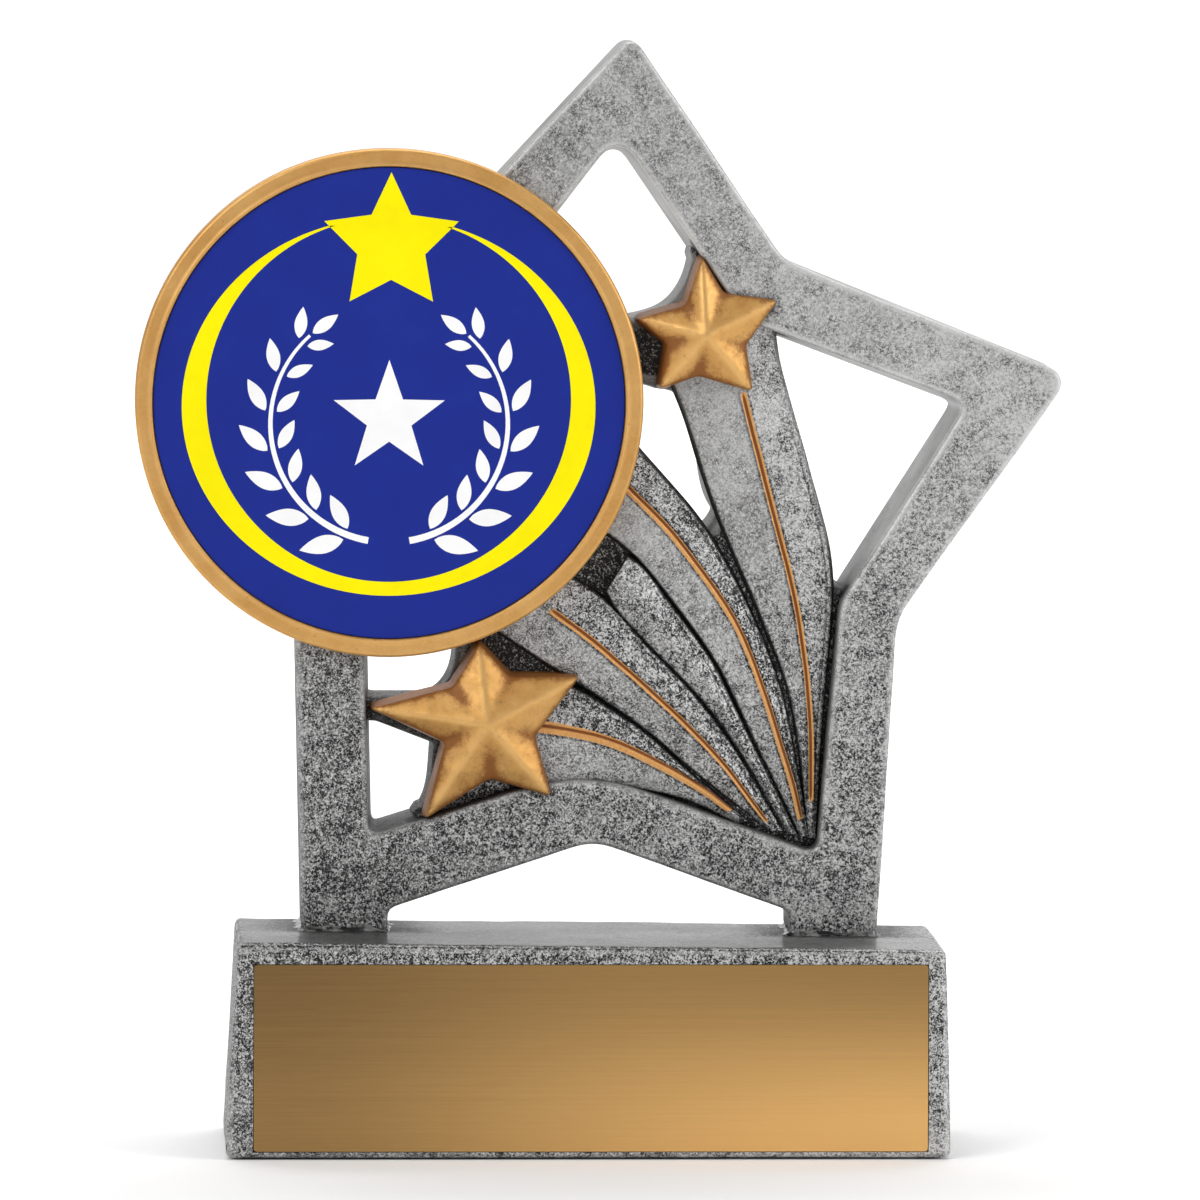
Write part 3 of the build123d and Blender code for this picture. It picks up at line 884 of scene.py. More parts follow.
def antique_silver(name, casting):
    """Stippled silver paint with black wash and painted shade, which changes with height as the casting says.
    It also grows lighter to the right as painted light.

    The marks it reads: wash_and_shade adds black wash and painted shade, wall is smooth, brush makes the
    stipple coarser, rim is the distance from a front edge, gilt and groove are the gold line on a trail with
    painted shade in its groove, and polish is the smooth top of the plinth.
    """
    material, wiring, shader, place = new_material(name)
    paint = colours()
    stipple = use_group(wiring, stipple_group(), Place=place, Grain=sizes().grain)
    polish = wiring.attribute("polish")
    smooth_wall = wiring.math("MULTIPLY", wiring.attribute("wall"), WALL_SMOOTHNESS)
    smooth_top = wiring.math("MULTIPLY", polish, TOP_SMOOTHNESS)
    rough_area = wiring.math("SUBTRACT", 1.0, wiring.math("MAXIMUM", smooth_wall, smooth_top))
    # Clean band along the front edges: wiped paint and a painted highlight on their rounding
    clean = use_group(
        wiring, edge_wear_and_highlight_group(), Distance=wiring.attribute("rim"), Width=CLEAN_WIDTH,
        Grains=stipple["Grains"], Raggedness=CLEAN_RAGGEDNESS,
    )["Mask"]
    tone = silver_tone(wiring, casting, place, stipple, clean, rough_area)

    dark_share = wiring.math("MULTIPLY", tone, 2.0, clamp=True)
    light_share = wiring.math("MULTIPLY_ADD", tone, 2.0, -1.0, clamp=True)
    dark_half = wiring.mix(dark_share, paint.black_wash_and_shade, paint.silver)
    surface = wiring.mix(light_share, dark_half, paint.silver_light_and_painted_light)
    wiring.feed(shader.inputs["Base Color"], with_gilt_line(wiring, surface, stipple, paint))

    rough = wiring.between(tone, 0.1, 0.7, 0.62, 0.44)
    shine = wiring.between(tone, 0.1, 0.6, 0.05, 0.45)
    dull_top = wiring.math("MULTIPLY_ADD", polish, -0.9, 1.0)
    wiring.feed(shader.inputs["Roughness"], wiring.math("MULTIPLY_ADD", polish, -0.14, rough))
    wiring.feed(shader.inputs["Metallic"], wiring.math("MULTIPLY", shine, dull_top))
    wiring.feed(shader.inputs["Coat Weight"], wiring.math("MULTIPLY", polish, TOP_COAT))
    shader.inputs["Coat Roughness"].default_value = 0.1
    shader.inputs["Specular IOR Level"].default_value = 0.3
    height = wiring.math("MULTIPLY", wiring.math("SUBTRACT", stipple["Height"], 0.5), rough_area)
    bump(wiring, shader, height, 0.14, 0.5)
    return material


def antique_gold(name):
    """Gold paint with brown wash and painted shade in the hollows and on the shaded sides, and a painted
    highlight along the ridges.
    """
    material, wiring, shader, place = new_material(name)
    paint = colours()
    stipple = use_group(wiring, stipple_group(), Place=place, Grain=0.5 * MM)
    patches = use_group(wiring, patches_group(), Place=place, Size=5 * MM)["Value"]
    streaks = use_group(wiring, patches_group(), Place=place, Size=1.1 * MM)["Value"]
    grains = use_group(wiring, stipple_group(), Place=place, Grain=0.2 * MM)["Grains"]
    wash_and_shade = wiring.attribute("wash_and_shade")
    ridge = wiring.attribute("ridge")
    lighter = wiring.math("MULTIPLY_ADD", patches, 0.35, 0.25)
    lighter = wiring.math("MULTIPLY_ADD", grains, 0.22, lighter, clamp=True)
    tone = wiring.mix(lighter, paint.gold, paint.gold_light_and_highlight)
    # Painted highlight along the ridges
    tone = wiring.mix(wiring.math("MULTIPLY", ridge, 0.6), tone, paint.gold_light_and_highlight)
    brown = wiring.math("MULTIPLY_ADD", wiring.math("SUBTRACT", streaks, 0.5), 0.18, wash_and_shade)
    brown = wiring.math("MULTIPLY_ADD", grains, 0.30, brown)
    dark = wiring.between(brown, 0.0, 1.2)
    # Darkens towards the brown wash and the painted shade
    tone = wiring.mix(wiring.math("MULTIPLY", dark, 0.9), tone, paint.brown_wash_and_shade)
    specks = use_group(wiring, speckle_group(), Place=place, Spacing=0.9 * MM, Share=0.22)["Mask"]
    tone = wiring.mix(wiring.math("MULTIPLY", specks, 0.45), tone, paint.brown_wash_and_shade)
    wiring.feed(shader.inputs["Base Color"], tone)
    wiring.feed(shader.inputs["Metallic"], wiring.math("MULTIPLY_ADD", dark, -0.5, 0.65))
    shader.inputs["Specular IOR Level"].default_value = 0.2
    wiring.feed(shader.inputs["Roughness"], wiring.between(stipple["Grains"], -1.0, 1.0, 0.52, 0.42))
    bump(wiring, shader, stipple["Height"], 0.07, 0.45)
    return material


def brushed_plate(name):
    """Gold anodised metal with fine horizontal brushing, and a painted reflection that leaves it darker
    towards its upper left.
    """
    material, wiring, shader, place = new_material(name)
    paint = colours()
    lines = use_group(wiring, brushed_group(), Place=place)["Value"]
    parts = wiring.node("ShaderNodeSeparateXYZ", {"Vector": place}).outputs
    # Painted reflection: lighter to the right and downwards, most at the lower right, and lighter in the
    # middle
    across = wiring.between(parts["X"], PLATE_LOW[0] * MM, PLATE_HIGH[0] * MM)
    down = wiring.between(parts["Z"], PLATE_HIGH[2] * MM, PLATE_LOW[2] * MM)
    lit = wiring.math("MULTIPLY_ADD", wiring.math("MULTIPLY", across, down), 0.50, 0.22)
    lit = wiring.math("MULTIPLY_ADD", across, 0.17, lit)
    lit = wiring.math("MULTIPLY_ADD", down, 0.15, lit)
    from_ends = wiring.math("MULTIPLY", across, wiring.math("SUBTRACT", 1.0, across))
    lit = wiring.math("MULTIPLY_ADD", from_ends, 0.32, lit)
    lit = wiring.math("MULTIPLY_ADD", wiring.math("SUBTRACT", lines, 0.5), 0.05, lit)
    tone = wiring.mix(lit, [value * 0.1 for value in paint.plate], [value * 2.1 for value in paint.plate])
    wiring.feed(shader.inputs["Base Color"], tone)
    shader.inputs["Metallic"].default_value = 0.7
    wiring.feed(shader.inputs["Roughness"], wiring.between(lines, 0.0, 1.0, 0.42, 0.34))
    bump(wiring, shader, lines, 0.01, 0.25)
    return material


def smooth_print(name, ink):
    """Satin ink on film with the faintest mottle."""
    material, wiring, shader, place = new_material(name)
    patches = use_group(wiring, patches_group(), Place=place, Size=6 * MM)["Value"]
    deeper = [value * 0.93 for value in ink]
    wiring.feed(shader.inputs["Base Color"], wiring.mix(patches, deeper, ink))
    wiring.feed(shader.inputs["Roughness"], wiring.between(patches, 0.0, 1.0, 0.42, 0.48))
    shader.inputs["Specular IOR Level"].default_value = 0.1
    return material


def plain_layer(name, tint, grain_mm, roughness, depth_mm, metallic=0.0):
    """Simple hidden layer with fine grain: tape, backing, steel or felt."""
    material, wiring, shader, place = new_material(name)
    stipple = use_group(wiring, stipple_group(), Place=place, Grain=grain_mm * MM)
    darker = [value * 0.72 for value in tint]
    grains = wiring.between(stipple["Grains"], -1.0, 1.0)
    wiring.feed(shader.inputs["Base Color"], wiring.mix(grains, darker, tint))
    wiring.feed(shader.inputs["Roughness"], wiring.math("MULTIPLY_ADD", grains, -0.15 * roughness, roughness))
    shader.inputs["Metallic"].default_value = metallic
    bump(wiring, shader, stipple["Height"], depth_mm, 0.6)
    return material


def painted_glue(name):
    """Set glue under silver paint, glossy, with black wash pooled in it."""
    material, wiring, shader, place = new_material(name)
    paint = colours()
    stipple = use_group(wiring, stipple_group(), Place=place, Grain=0.7 * MM)
    pools = use_group(wiring, patches_group(), Place=place, Size=1.6 * MM)["Value"]
    total = wiring.math("MULTIPLY_ADD", pools, 0.75, wiring.attribute("wash_and_shade"))
    dark = wiring.between(total, 0.25, 0.85)
    tone = wiring.mix(wiring.between(stipple["Grains"], -1.0, 1.0), paint.glue, paint.silver)
    tone = wiring.mix(dark, tone, paint.black_wash_and_shade)
    wiring.feed(shader.inputs["Base Color"], tone)
    shader.inputs["Metallic"].default_value = 0.2
    wiring.feed(shader.inputs["Roughness"], wiring.between(pools, 0.0, 1.0, 0.30, 0.16))
    bump(wiring, shader, stipple["Height"], 0.12, 0.5)
    return material


def casting_silver():
    """Silver of the star frame, its panel and the trails."""
    return material_once("antique silver", lambda name: antique_silver(name, CASTING_SILVER))


def casting_gold():
    """Gold of the small stars and the holder."""
    return material_once("antique gold", antique_gold)


# ---------------------------------------------------------------- castings

def star_plan(corners):
    """Rounded outline of a small star, anticlockwise."""
    return relaxed(turned(resampled(np.array(corners, float), 0.16), True), 10)


def star_outlines():
    """Rounded outlines of the two small stars."""
    return [star_plan(UPPER_STAR[1]), star_plan(LOWER_STAR[1])]


def build_star_frame():
    """Star frame with rounded front edges, drafted inner walls and its two feet."""
    rounding = sizes().frame_rounding / MM
    outer, inner = frame_loops()

    def front(plan):
        return FRAME_FRONT + (RING_BACK - FRAME_FRONT) * under_ring(plan, 0.4)

    points, faces, rim, wall = relief(
        [outer, inner], front, FRAME_BACK, rounding, (0.0, INNER_WALL_LEAN), grid=0.6
    )
    plan = points[:, [0, 2]]
    panel = panel_loops()
    seam = edge_distance(plan, panel[:1])
    beside_star = edge_distance(plan, star_outlines())
    on_front = 1 - wall
    # Painted shade beside the small stars on the frame's front
    wash_and_shade = 0.45 * np.exp(-(beside_star / 0.45) ** 2) * on_front
    # Black wash and painted shade low on the inner walls, where they meet the trail panel
    low_wall = np.exp(-((points[:, 1] - WEB_FRONT) / 1.3) ** 2)
    wash_and_shade += 1.1 * wall * low_wall * (1 - smoothstep(0.4, 1.2, seam))
    # Painted shade over the walls, a little uneven
    wash_and_shade += wall * (0.52 + 0.14 * wander(points, 9, 6))
    foot = np.maximum(0, 1 - (points[:, 2] - PLINTH_TOP_Z) / 2.6)
    wash_and_shade += 0.45 * foot ** 2
    marks = {"rim": rim, "wall": wall, "wash_and_shade": wash_and_shade}
    return new_piece(
        "star_frame_casting", cast_waviness(points), faces, casting_silver(),
        ("star_frame",), marks,
    )


def panel_loops():
    """Outlines of the trail panel, stretched a little way under the star frame where they meet."""
    loops = face_loops("trail_web", FRAME_BACK)
    _, frame_inner = face_loops("star_frame", FRAME_BACK)[:2]
    outer = turned(resampled(loops[0], 0.35), True)
    touching = (edge_distance(outer, [frame_inner]) < 0.08).astype(float)[:, None]
    outer = relaxed(outer - inward_normals(outer) * 1.4 * touching, 1)
    holes = [relaxed(turned(resampled(loop, 0.3), False), 2) for loop in loops[1:]]
    return [outer] + holes


def build_trail_panel():
    """Panel behind the trails and small stars, with soft pads round the stars."""
    loops = panel_loops()
    frame_inner = frame_loops()[1]

    def front(plan):
        return WEB_FRONT - (WEB_FRONT - RING_BACK + 0.05) * under_ring(plan, 1.0)

    points, faces, rim, wall = relief(
        loops, front, FRAME_BACK - 0.05, sizes().panel_rounding / MM, [0.25] * len(loops), grid=0.6
    )
    plan = points[:, [0, 2]]
    by_frame = 1 - smoothstep(0.2, 0.9, edge_distance(plan, [frame_inner]))
    pad = np.maximum(wall, (1 - smoothstep(0.9, 1.7, rim)) * (1 - by_frame))
    beside_star = np.exp(-(edge_distance(plan, star_outlines()) / 0.5) ** 2)
    under_star = smoothstep(43, 40.5, plan[:, 1]) * smoothstep(0, -4, plan[:, 0])
    # Black wash over the panel, with painted shade next to the frame
    wash_and_shade = (1.25 - under_star + 0.3 * by_frame) * (1 - pad)
    # Painted shade beside the small stars, and the pads a little darker
    wash_and_shade += 0.45 * beside_star * (1 - wall) + 0.35 * pad
    wash_and_shade += 0.12 * wander(points, 3.0, 4) * (1 - pad)
    marks = {"rim": np.full(len(points), NO_RIM), "wall": pad, "wash_and_shade": wash_and_shade, "brush": 1.6 * (1 - pad)}
    return new_piece(
        "trail_panel_casting", cast_waviness(points), faces, casting_silver(),
        ("trail_web",), marks,
    )


def trail_columns(width):
    """Shares of the way from a crest to a trail's edge, with close columns at the gilt and at the valley."""
    squeeze = np.minimum(1, width / 2.2)
    by_crest = np.array([0, 0.06, 0.12, 0.18, 0.25, 0.32, 0.4, 0.5, 0.6, 0.72, 0.86]) * squeeze
    by_edge = np.array([1.1, 0.98, 0.9, 0.82, 0.7, 0.58, 0.5, 0.42, 0.34, 0.27, 0.2, 0.12, 0.05, 0]) * squeeze
    start, end = by_crest[:, -1:], width - by_edge[:, :1]
    middle = start + (end - start) * np.arange(1, 7) / 7
    return np.concatenate([by_crest, middle, width - by_edge], axis=1) / width


def gilt_run(name, share):
    """1 where a trail's gilt line runs and 0 beyond its ends."""
    _, _, start, end = GILT.get(name, NO_GILT)
    begun = smoothstep(start - 0.02, start + 0.02, share)
    return begun * (1 - smoothstep(end - 0.02, end + 0.02, share))


def trail_side(name, side, crest, edge, share):
    """Points of one side of a trail, from its crest outwards, and the painting marks on them.

    The side is a soft slope that drops into the valley at its edge, with the gilt line's groove by
    the crest and, on the right, a crease along the valley.
    """
    across = edge - crest
    width = np.linalg.norm(across, axis=1)[:, None]
    edge = edge + across / width * EDGE_OVERLAP
    width = width + EDGE_OVERLAP
    away = trail_columns(width)
    plan = crest[:, None, :] + (edge - crest)[:, None, :] * away[..., None]
    distance = away * width
    from_edge = (width - distance) / np.clip(width / 1.4, 0.15, 1)
    from_groove = distance * (1, -1)[side] - GROOVE_AT.get(name, 0)
    gilded = gilt_run(name, share)

    crest_depth = CREST_OUTER + (CREST_INNER - CREST_OUTER) * share
    shoulder = SHOULDER_DROP * (1 - 0.45 * share)
    valley = np.minimum(TRAIL_FLOOR - crest_depth - shoulder, VALLEY_DROP)
    drop = shoulder * away ** 1.3
    drop = drop + valley * (1 - smoothstep(0, 0.5, from_edge)) ** 1.3
    groove = np.exp(-(from_groove / (0.19 - 0.05 * share)) ** 2) * gilded
    # Painted shade in the gilt line's groove
    groove_shade = np.exp(-(from_groove / (0.26 - 0.07 * share)) ** 2) * gilded
    lip = np.exp(-((np.abs(from_groove) - 0.38) / 0.16) ** 2) * gilded
    crease = np.exp(-((from_edge - 0.86) / 0.08) ** 2) * smoothstep(0.1, 0.3, share) * (side == RIGHT)
    groove_depth = sizes().groove_depth / MM
    depth = crest_depth + drop + groove * groove_depth - lip * LIP_HEIGHT + crease * CREASE_DEPTH

    # Trail 1's right edge stands free beside the window, so no black line runs along it there
    outlined = smoothstep(0.42, 0.52, share) if (name, side) == ("trail_1", RIGHT) else 1.0
    # Black wash and painted shade in the valley along each edge, with each side's own darkening
    wash_and_shade = SIDE_DARKENING[name][side] + 1.3 * (1 - smoothstep(0.20, 0.46, from_edge)) * outlined
    # More black wash and painted shade down towards the edge and in the crease
    wash_and_shade = wash_and_shade + 0.30 * np.exp(-from_edge / 0.6) + 0.75 * crease
    # Painted shade towards the inner end, in the recess where the trails meet, and the right side darker
    # towards its edge
    wash_and_shade = wash_and_shade + 0.20 * smoothstep(0.75, 1.0, share) + (0.26, 0)[side] * np.exp(-from_edge / 1.4)
    gilt = np.zeros_like(distance)
    reach = GILT.get(name, NO_GILT)[side]
    if reach:
        band = reach * (1 - 0.55 * share if reach > 1 else 1 - 0.25 * share)
        gilt = (1 - smoothstep(0.75 * band, 1.25 * band, distance)) * gilded
        wash_and_shade = wash_and_shade + 0.8 * np.exp(-((distance - band - 0.12) / 0.13) ** 2) * gilded
    return {
        "points": np.concatenate([plan[..., :1], depth[..., None], plan[..., 1:]], axis=2),
        "wash_and_shade": wash_and_shade,
        "brush": np.full_like(distance, SIDE_BRUSH[name][side]),
        "gilt": gilt,
        "groove": groove_shade * 0.85,
    }


def build_trail(name, stations=170):
    """One ray of a shooting star: a soft roof with a gilt groove on its crest and creases at its edges."""
    right, crest, left = (smooth_curve(line, stations) for line in TRAILS[name])
    share = np.linspace(0, 1, stations)[:, None]
    on_right = trail_side(name, RIGHT, crest, right, share)
    on_left = trail_side(name, LEFT, crest, left, share)
    joined = {
        label: np.concatenate([on_right[label][:, ::-1], on_left[label][:, 1:]], axis=1)
        for label in on_right
    }
    roof = joined.pop("points")
    skirts = roof[:, :1].copy(), roof[:, -1:].copy()
    for skirt in skirts:
        skirt[..., 1] = TRAIL_FLOOR + SKIRT_DEPTH
    points = np.concatenate([skirts[0], roof, skirts[1]], axis=1)
    columns = points.shape[1]
    faces = []
    for station in range(stations - 1):
        for column in range(columns):
            here = station * columns + column
            beside = station * columns + (column + 1) % columns
            faces.append((here, beside, beside + columns, here + columns))
    faces.append(tuple(range(columns))[::-1])
    faces.append(tuple(range((stations - 1) * columns, stations * columns)))
    flat = points.reshape(-1, 3)
    marks = {"rim": np.full(len(flat), NO_RIM)}
    for label, values in joined.items():
        marks[label] = np.pad(values, ((0, 0), (1, 1)), mode="edge").ravel()
    return new_piece(
        name + "_casting", cast_waviness(flat), faces, casting_silver(), (name,), marks,
        sharp=60,
    )


def star_rise(plan, centre, corners):
    """1 at a star's middle and 0 on its outline, with straight ridges out to the tips."""
    rise = np.zeros(len(plan))
    centre = np.array(centre)
    away = plan - centre
    for here, after in zip(corners, corners[1:] + corners[:1]):
        first, second = np.array(here) - centre, np.array(after) - centre
        cross = first[0] * second[1] - first[1] * second[0]
        along_first = (away[:, 0] * second[1] - away[:, 1] * second[0]) / cross
        along_second = (first[0] * away[:, 1] - first[1] * away[:, 0]) / cross
        within = (along_first >= -1e-6) & (along_second >= -1e-6)
        rise[within] = np.maximum(rise[within], 1 - along_first[within] - along_second[within])
    return np.clip(rise, 0, 1)


def line_distance(plan, start, end):
    """Distance from each point to a straight line between two points."""
    start, end = np.array(start), np.array(end)
    along = end - start
    share = np.clip(((plan - start) @ along) / (along @ along), 0, 1)
    return np.linalg.norm(plan - start - share[:, None] * along, axis=1)


def build_small_star(name, star, stands_for):
    """Puffed five-pointed star with soft ridges, brown wash in its valleys and round its foot, painted shade
    on its left and lower sides and round its foot, and a painted highlight on its ridges.
    """
    centre, corners = star
    outline = star_plan(corners)

    def softened(plan):
        """Rise of the star with its ridges eased, as a mean over two small circles."""
        total = star_rise(plan, centre, corners)
        turns = np.arange(8) * math.pi / 4
        for radius in (0.22, 0.42):
            for turn in turns:
                shift = radius * np.array([math.cos(turn), math.sin(turn)])
                total = total + star_rise(plan + shift, centre, corners)
        return total / 17

    def front(plan):
        return STAR_EDGE + (STAR_PEAK - STAR_EDGE) * softened(plan) ** 0.88

    points, faces, rim, wall = relief(
        [outline], front, WEB_FRONT + 0.3, sizes().star_rounding / MM, [0.35], grid=0.3, wall_rows=8
    )
    points[:, 1] += 0.06 * wander(points, 1.5, 8) * (1 - wall)
    plan = points[:, [0, 2]]
    tips, hollows = corners[0::2], corners[1::2]
    valley = np.min([line_distance(plan, centre, hollow) for hollow in hollows], axis=0)
    ridge = np.min([line_distance(plan, centre, tip) for tip in tips], axis=0)
    outwards = 1 - star_rise(plan, centre, corners)
    # Painted shade, stronger towards the star's left and its lower side
    side = 0.5 - 0.5 * (points[:, 0] - centre[0]) / 6
    low_side = smoothstep(1.5, -4.5, points[:, 2] - centre[1])
    in_valley = np.exp(-(valley / 0.75) ** 2) * smoothstep(0.2, 0.9, outwards)
    # Brown wash in the valleys, deeper on the left and lower side as painted shade
    wash_and_shade = 0.95 * in_valley * (0.45 + side + 0.3 * low_side)
    # Brown wash and painted shade round the star's foot and on its wall
    wash_and_shade += 0.8 * np.exp(-(rim / 0.45) ** 2) + 0.30 * wall
    # Painted shade over the left and lower side away from the ridges
    wash_and_shade += (0.20 * side + 0.16 * low_side) * smoothstep(0.3, 1.2, ridge)
    wash_and_shade += 0.20 * wander(points, 1.3, 21) * smoothstep(0.2, 0.8, outwards) * (1 - wall)
    wash_and_shade += 0.25 * (1 - np.abs(wander(points, 1.1, 23)) * 6).clip(0, 1) * (1 - wall)
    # The ridge mark paints a highlight along the ridges
    marks = {"wash_and_shade": wash_and_shade, "ridge": np.exp(-(ridge / 0.35) ** 2)}
    return new_piece(
        name, cast_waviness(points), faces, casting_gold(), (stands_for,), marks, sharp=50
    )


def lathe(profile, centre, segments, wobble=0.0):
    """Closed body turned about the Y direction, from (radius, depth) pairs that start and end on the axis.

    wobble moves everything outside the printed centre in and out a little.
    """
    turns = np.arange(segments) * 2 * math.pi / segments
    rings = profile[1:-1]
    points = [(centre[0], profile[0][1], centre[1])]
    for radius, depth in rings:
        waver = wobble * np.sin(turns * 3 + 1) + wobble * 0.6 * np.sin(turns * 7)
        keep = 1 if radius > CENTRE_RADIUS + 0.5 else 0
        across = radius + waver * keep
        x, z = centre[0] + across * np.cos(turns), centre[1] + across * np.sin(turns)
        points += list(zip(x, [depth] * segments, z))
    points.append((centre[0], profile[-1][1], centre[1]))
    faces = []
    for index in range(segments):
        after = (index + 1) % segments
        faces.append((0, 1 + after, 1 + index))
        for ring in range(len(rings) - 1):
            low, high = 1 + ring * segments, 1 + (ring + 1) * segments
            faces.append((low + index, low + after, high + after, high + index))
        last = 1 + (len(rings) - 1) * segments
        faces.append((last + index, last + after, len(points) - 1))
    return np.array(points), faces


def build_holder():
    """Round holder: a flat gold rim with a soft outer edge, a raised inner lip and a dish for the centre."""
    outer, inner = RING_RADIUS, CENTRE_RADIUS + 0.1
    soft = 0.45
    profile = [
        (0, RING_BACK), (outer * 0.5, RING_BACK), (outer - 0.5, RING_BACK),
        (outer - 0.12, RING_BACK - 0.1), (outer, RING_BACK - 0.4),
    ]
    profile += [(outer, depth) for depth in np.linspace(RING_BACK - 0.8, RING_FRONT + soft + 0.2, 6)]
    for angle in np.radians(np.arange(0, 91, 11.25)):
        radius = outer - soft * (1 - math.cos(angle))
        profile.append((radius, RING_FRONT + 0.10 + soft * (1 - math.sin(angle))))
    lip = [(0.75, 0.14), (0.5, 0.12), (0.36, 0.04), (0.22, 0), (0.1, 0.03), (0.02, 0.14), (0, 0.3), (0, 1.0)]
    profile += [(inner + out, RING_FRONT + deep) for out, deep in lip]
    profile += [
        (inner, DISH_FLOOR - 0.02), (inner - 0.1, DISH_FLOOR), (inner * 0.5, DISH_FLOOR), (0, DISH_FLOOR),
    ]
    points, faces = lathe(profile, RING_CENTRE, 360, 0.035)
    reach = np.linalg.norm(points[:, [0, 2]] - RING_CENTRE, axis=1)
    front = (points[:, 1] < RING_FRONT + 0.7) & (reach > inner + 0.1)
    points[:, 1] += np.where(front, 0.05 * wander(points, 2.2, 3), 0)
    turn = np.arctan2(points[:, 2] - RING_CENTRE[1], points[:, 0] - RING_CENTRE[0])
    # A dark band beside the lip, strongest at the upper left
    wash_and_shade = 0.22 * np.exp(-((reach - inner - 0.65) / 0.22) ** 2) * (0.5 + 0.5 * np.cos(turn - 2.4))
    # Painted shade where the dish meets the printed centre
    wash_and_shade += 0.75 * np.exp(-((reach - inner) / 0.12) ** 2)
    # Painted shade on the rim's outer wall, darker towards the back
    wash_and_shade += 0.55 * smoothstep(RING_FRONT + 0.5, RING_FRONT + 1.6, points[:, 1])
    # The ridge mark paints a highlight along the inner lip
    ridge = 0.6 * np.exp(-((reach - inner - 0.24) / 0.16) ** 2)
    return new_piece(
        "medallion_holder_casting", points, faces, casting_gold(), ("medallion_holder",),
        {"wash_and_shade": wash_and_shade, "ridge": ridge}, sharp=50,
    )


# ---------------------------------------------------------------- printed centre

# Artwork, measured from the ring's centre: the slightly uneven star at the top and the small one
ARTWORK_STAR = [
    (0.15, 24.5), (2.25, 20.0), (7.3, 19.3), (3.75, 15.8), (4.6, 10.8),
    (0.15, 13.1), (-4.25, 10.8), (-3.45, 15.8), (-6.95, 19.3), (-1.95, 20.0),
]
SMALL_STAR_CENTRE = (0.0, -1.6)
SMALL_STAR_REACH = 6.2


def inlay(name, outlines, material):
    """Thin flat artwork lying on the printed film, from separate closed outlines round the ring's centre."""
    front, back = PRINT_FRONT - sizes().ink_thickness / MM, PRINT_FRONT
    points, faces = [], []
    for outline in outlines:
        outline = turned(np.array(outline), True) + RING_CENTRE
        count, first = len(outline), len(points)
        points += [(x, front, z) for x, z in outline] + [(x, back, z) for x, z in outline]
        _, triangles, moved = triangulate(outline, [outline])
        old = {new: index for index, new in enumerate(moved)}
        for face in triangles:
            corners = [old[index] for index in face]
            faces.append([first + index for index in corners])
            faces.append([first + count + index for index in corners[::-1]])
        for index in range(count):
            after = (index + 1) % count
            faces.append((first + index, first + count + index, first + count + after, first + after))
    return new_piece(name, np.array(points), faces, material)


def crescent():
    """Outline of the ring that thins away behind the artwork's star."""
    start, end = 107.2, 431.8
    centre_x, outer_z, inner_z = -0.05, -0.4, 0.35
    outer_wide, outer_tall, inner_radius = 21.95, 20.08, 19.35
    thinnest = 0.12
    turns = np.radians(np.linspace(start, end, 260))
    across, up = np.cos(turns), np.sin(turns)
    outer = np.column_stack([centre_x + outer_wide * across, outer_z + outer_tall * up])
    inner = np.column_stack([centre_x + inner_radius * across, inner_z + inner_radius * up])
    thin = np.linalg.norm(outer, axis=1) - np.linalg.norm(inner, axis=1) < thinnest
    inner[thin] = outer[thin] * (1 - thinnest / 20)
    return np.vstack([outer, inner[::-1]])


def flat_star(centre, reach):
    """Outline of a plain five-pointed star."""
    ratio = 0.40
    turns = math.pi / 2 + np.arange(10) * math.pi / 5
    away = np.where(np.arange(10) % 2 == 0, reach, reach * ratio)
    return np.column_stack([centre[0] + away * np.cos(turns), centre[1] + away * np.sin(turns)])


def leaf(root, angle, size, width):
    """Pointed leaf outline growing from its root in one direction."""
    share = np.linspace(0, 1, 15)
    half = width * np.sin(math.pi * share ** 0.85) ** 0.9
    along = np.concatenate([share, share[-2:0:-1]]) * size
    across = np.concatenate([half, -half[-2:0:-1]])
    cosine, sine = math.cos(angle), math.sin(angle)
    return np.column_stack([
        root[0] + along * cosine - across * sine,
        root[1] + along * sine + across * cosine,
    ])


def laurel(side):
    """Outlines of one laurel sprig: a curved stem with pairs of leaves and one at its end."""
    radius, centre = 12.6, np.array((0.0, -2.2))
    start, end, leaf_pairs = math.radians(-80), math.radians(48), 7
    size = sizes().leaf_length / MM
    turns = np.linspace(start, end, 40)
    thick = np.linspace(0.36, 0.16, 40)
    outer = np.column_stack([(radius + thick) * np.cos(turns), (radius + thick) * np.sin(turns)])
    inner = np.column_stack([(radius - thick) * np.cos(turns), (radius - thick) * np.sin(turns)])
    outlines = [np.vstack([outer, inner[::-1]]) + centre]
    for number, turn in enumerate(np.linspace(start + 0.20, end - 0.08, leaf_pairs)):
        heading = turn + math.pi / 2
        scale = size * (1 - 0.05 * number)
        for lean, foot, share in ((-0.62, 0.62, 1.0), (0.72, -0.62, 0.84)):
            root = centre + (radius + foot) * np.array([math.cos(turn), math.sin(turn)])
            outlines.append(leaf(root, heading + lean, scale * share, scale * share * 0.2))
    tip = centre + radius * np.array([math.cos(end + 0.03), math.sin(end + 0.03)])
    outlines.append(leaf(tip, end + math.pi / 2 + 0.1, size * 0.7, size * 0.14))
    if side < 0:
        outlines = [outline * (-1, 1) for outline in outlines]
    return outlines


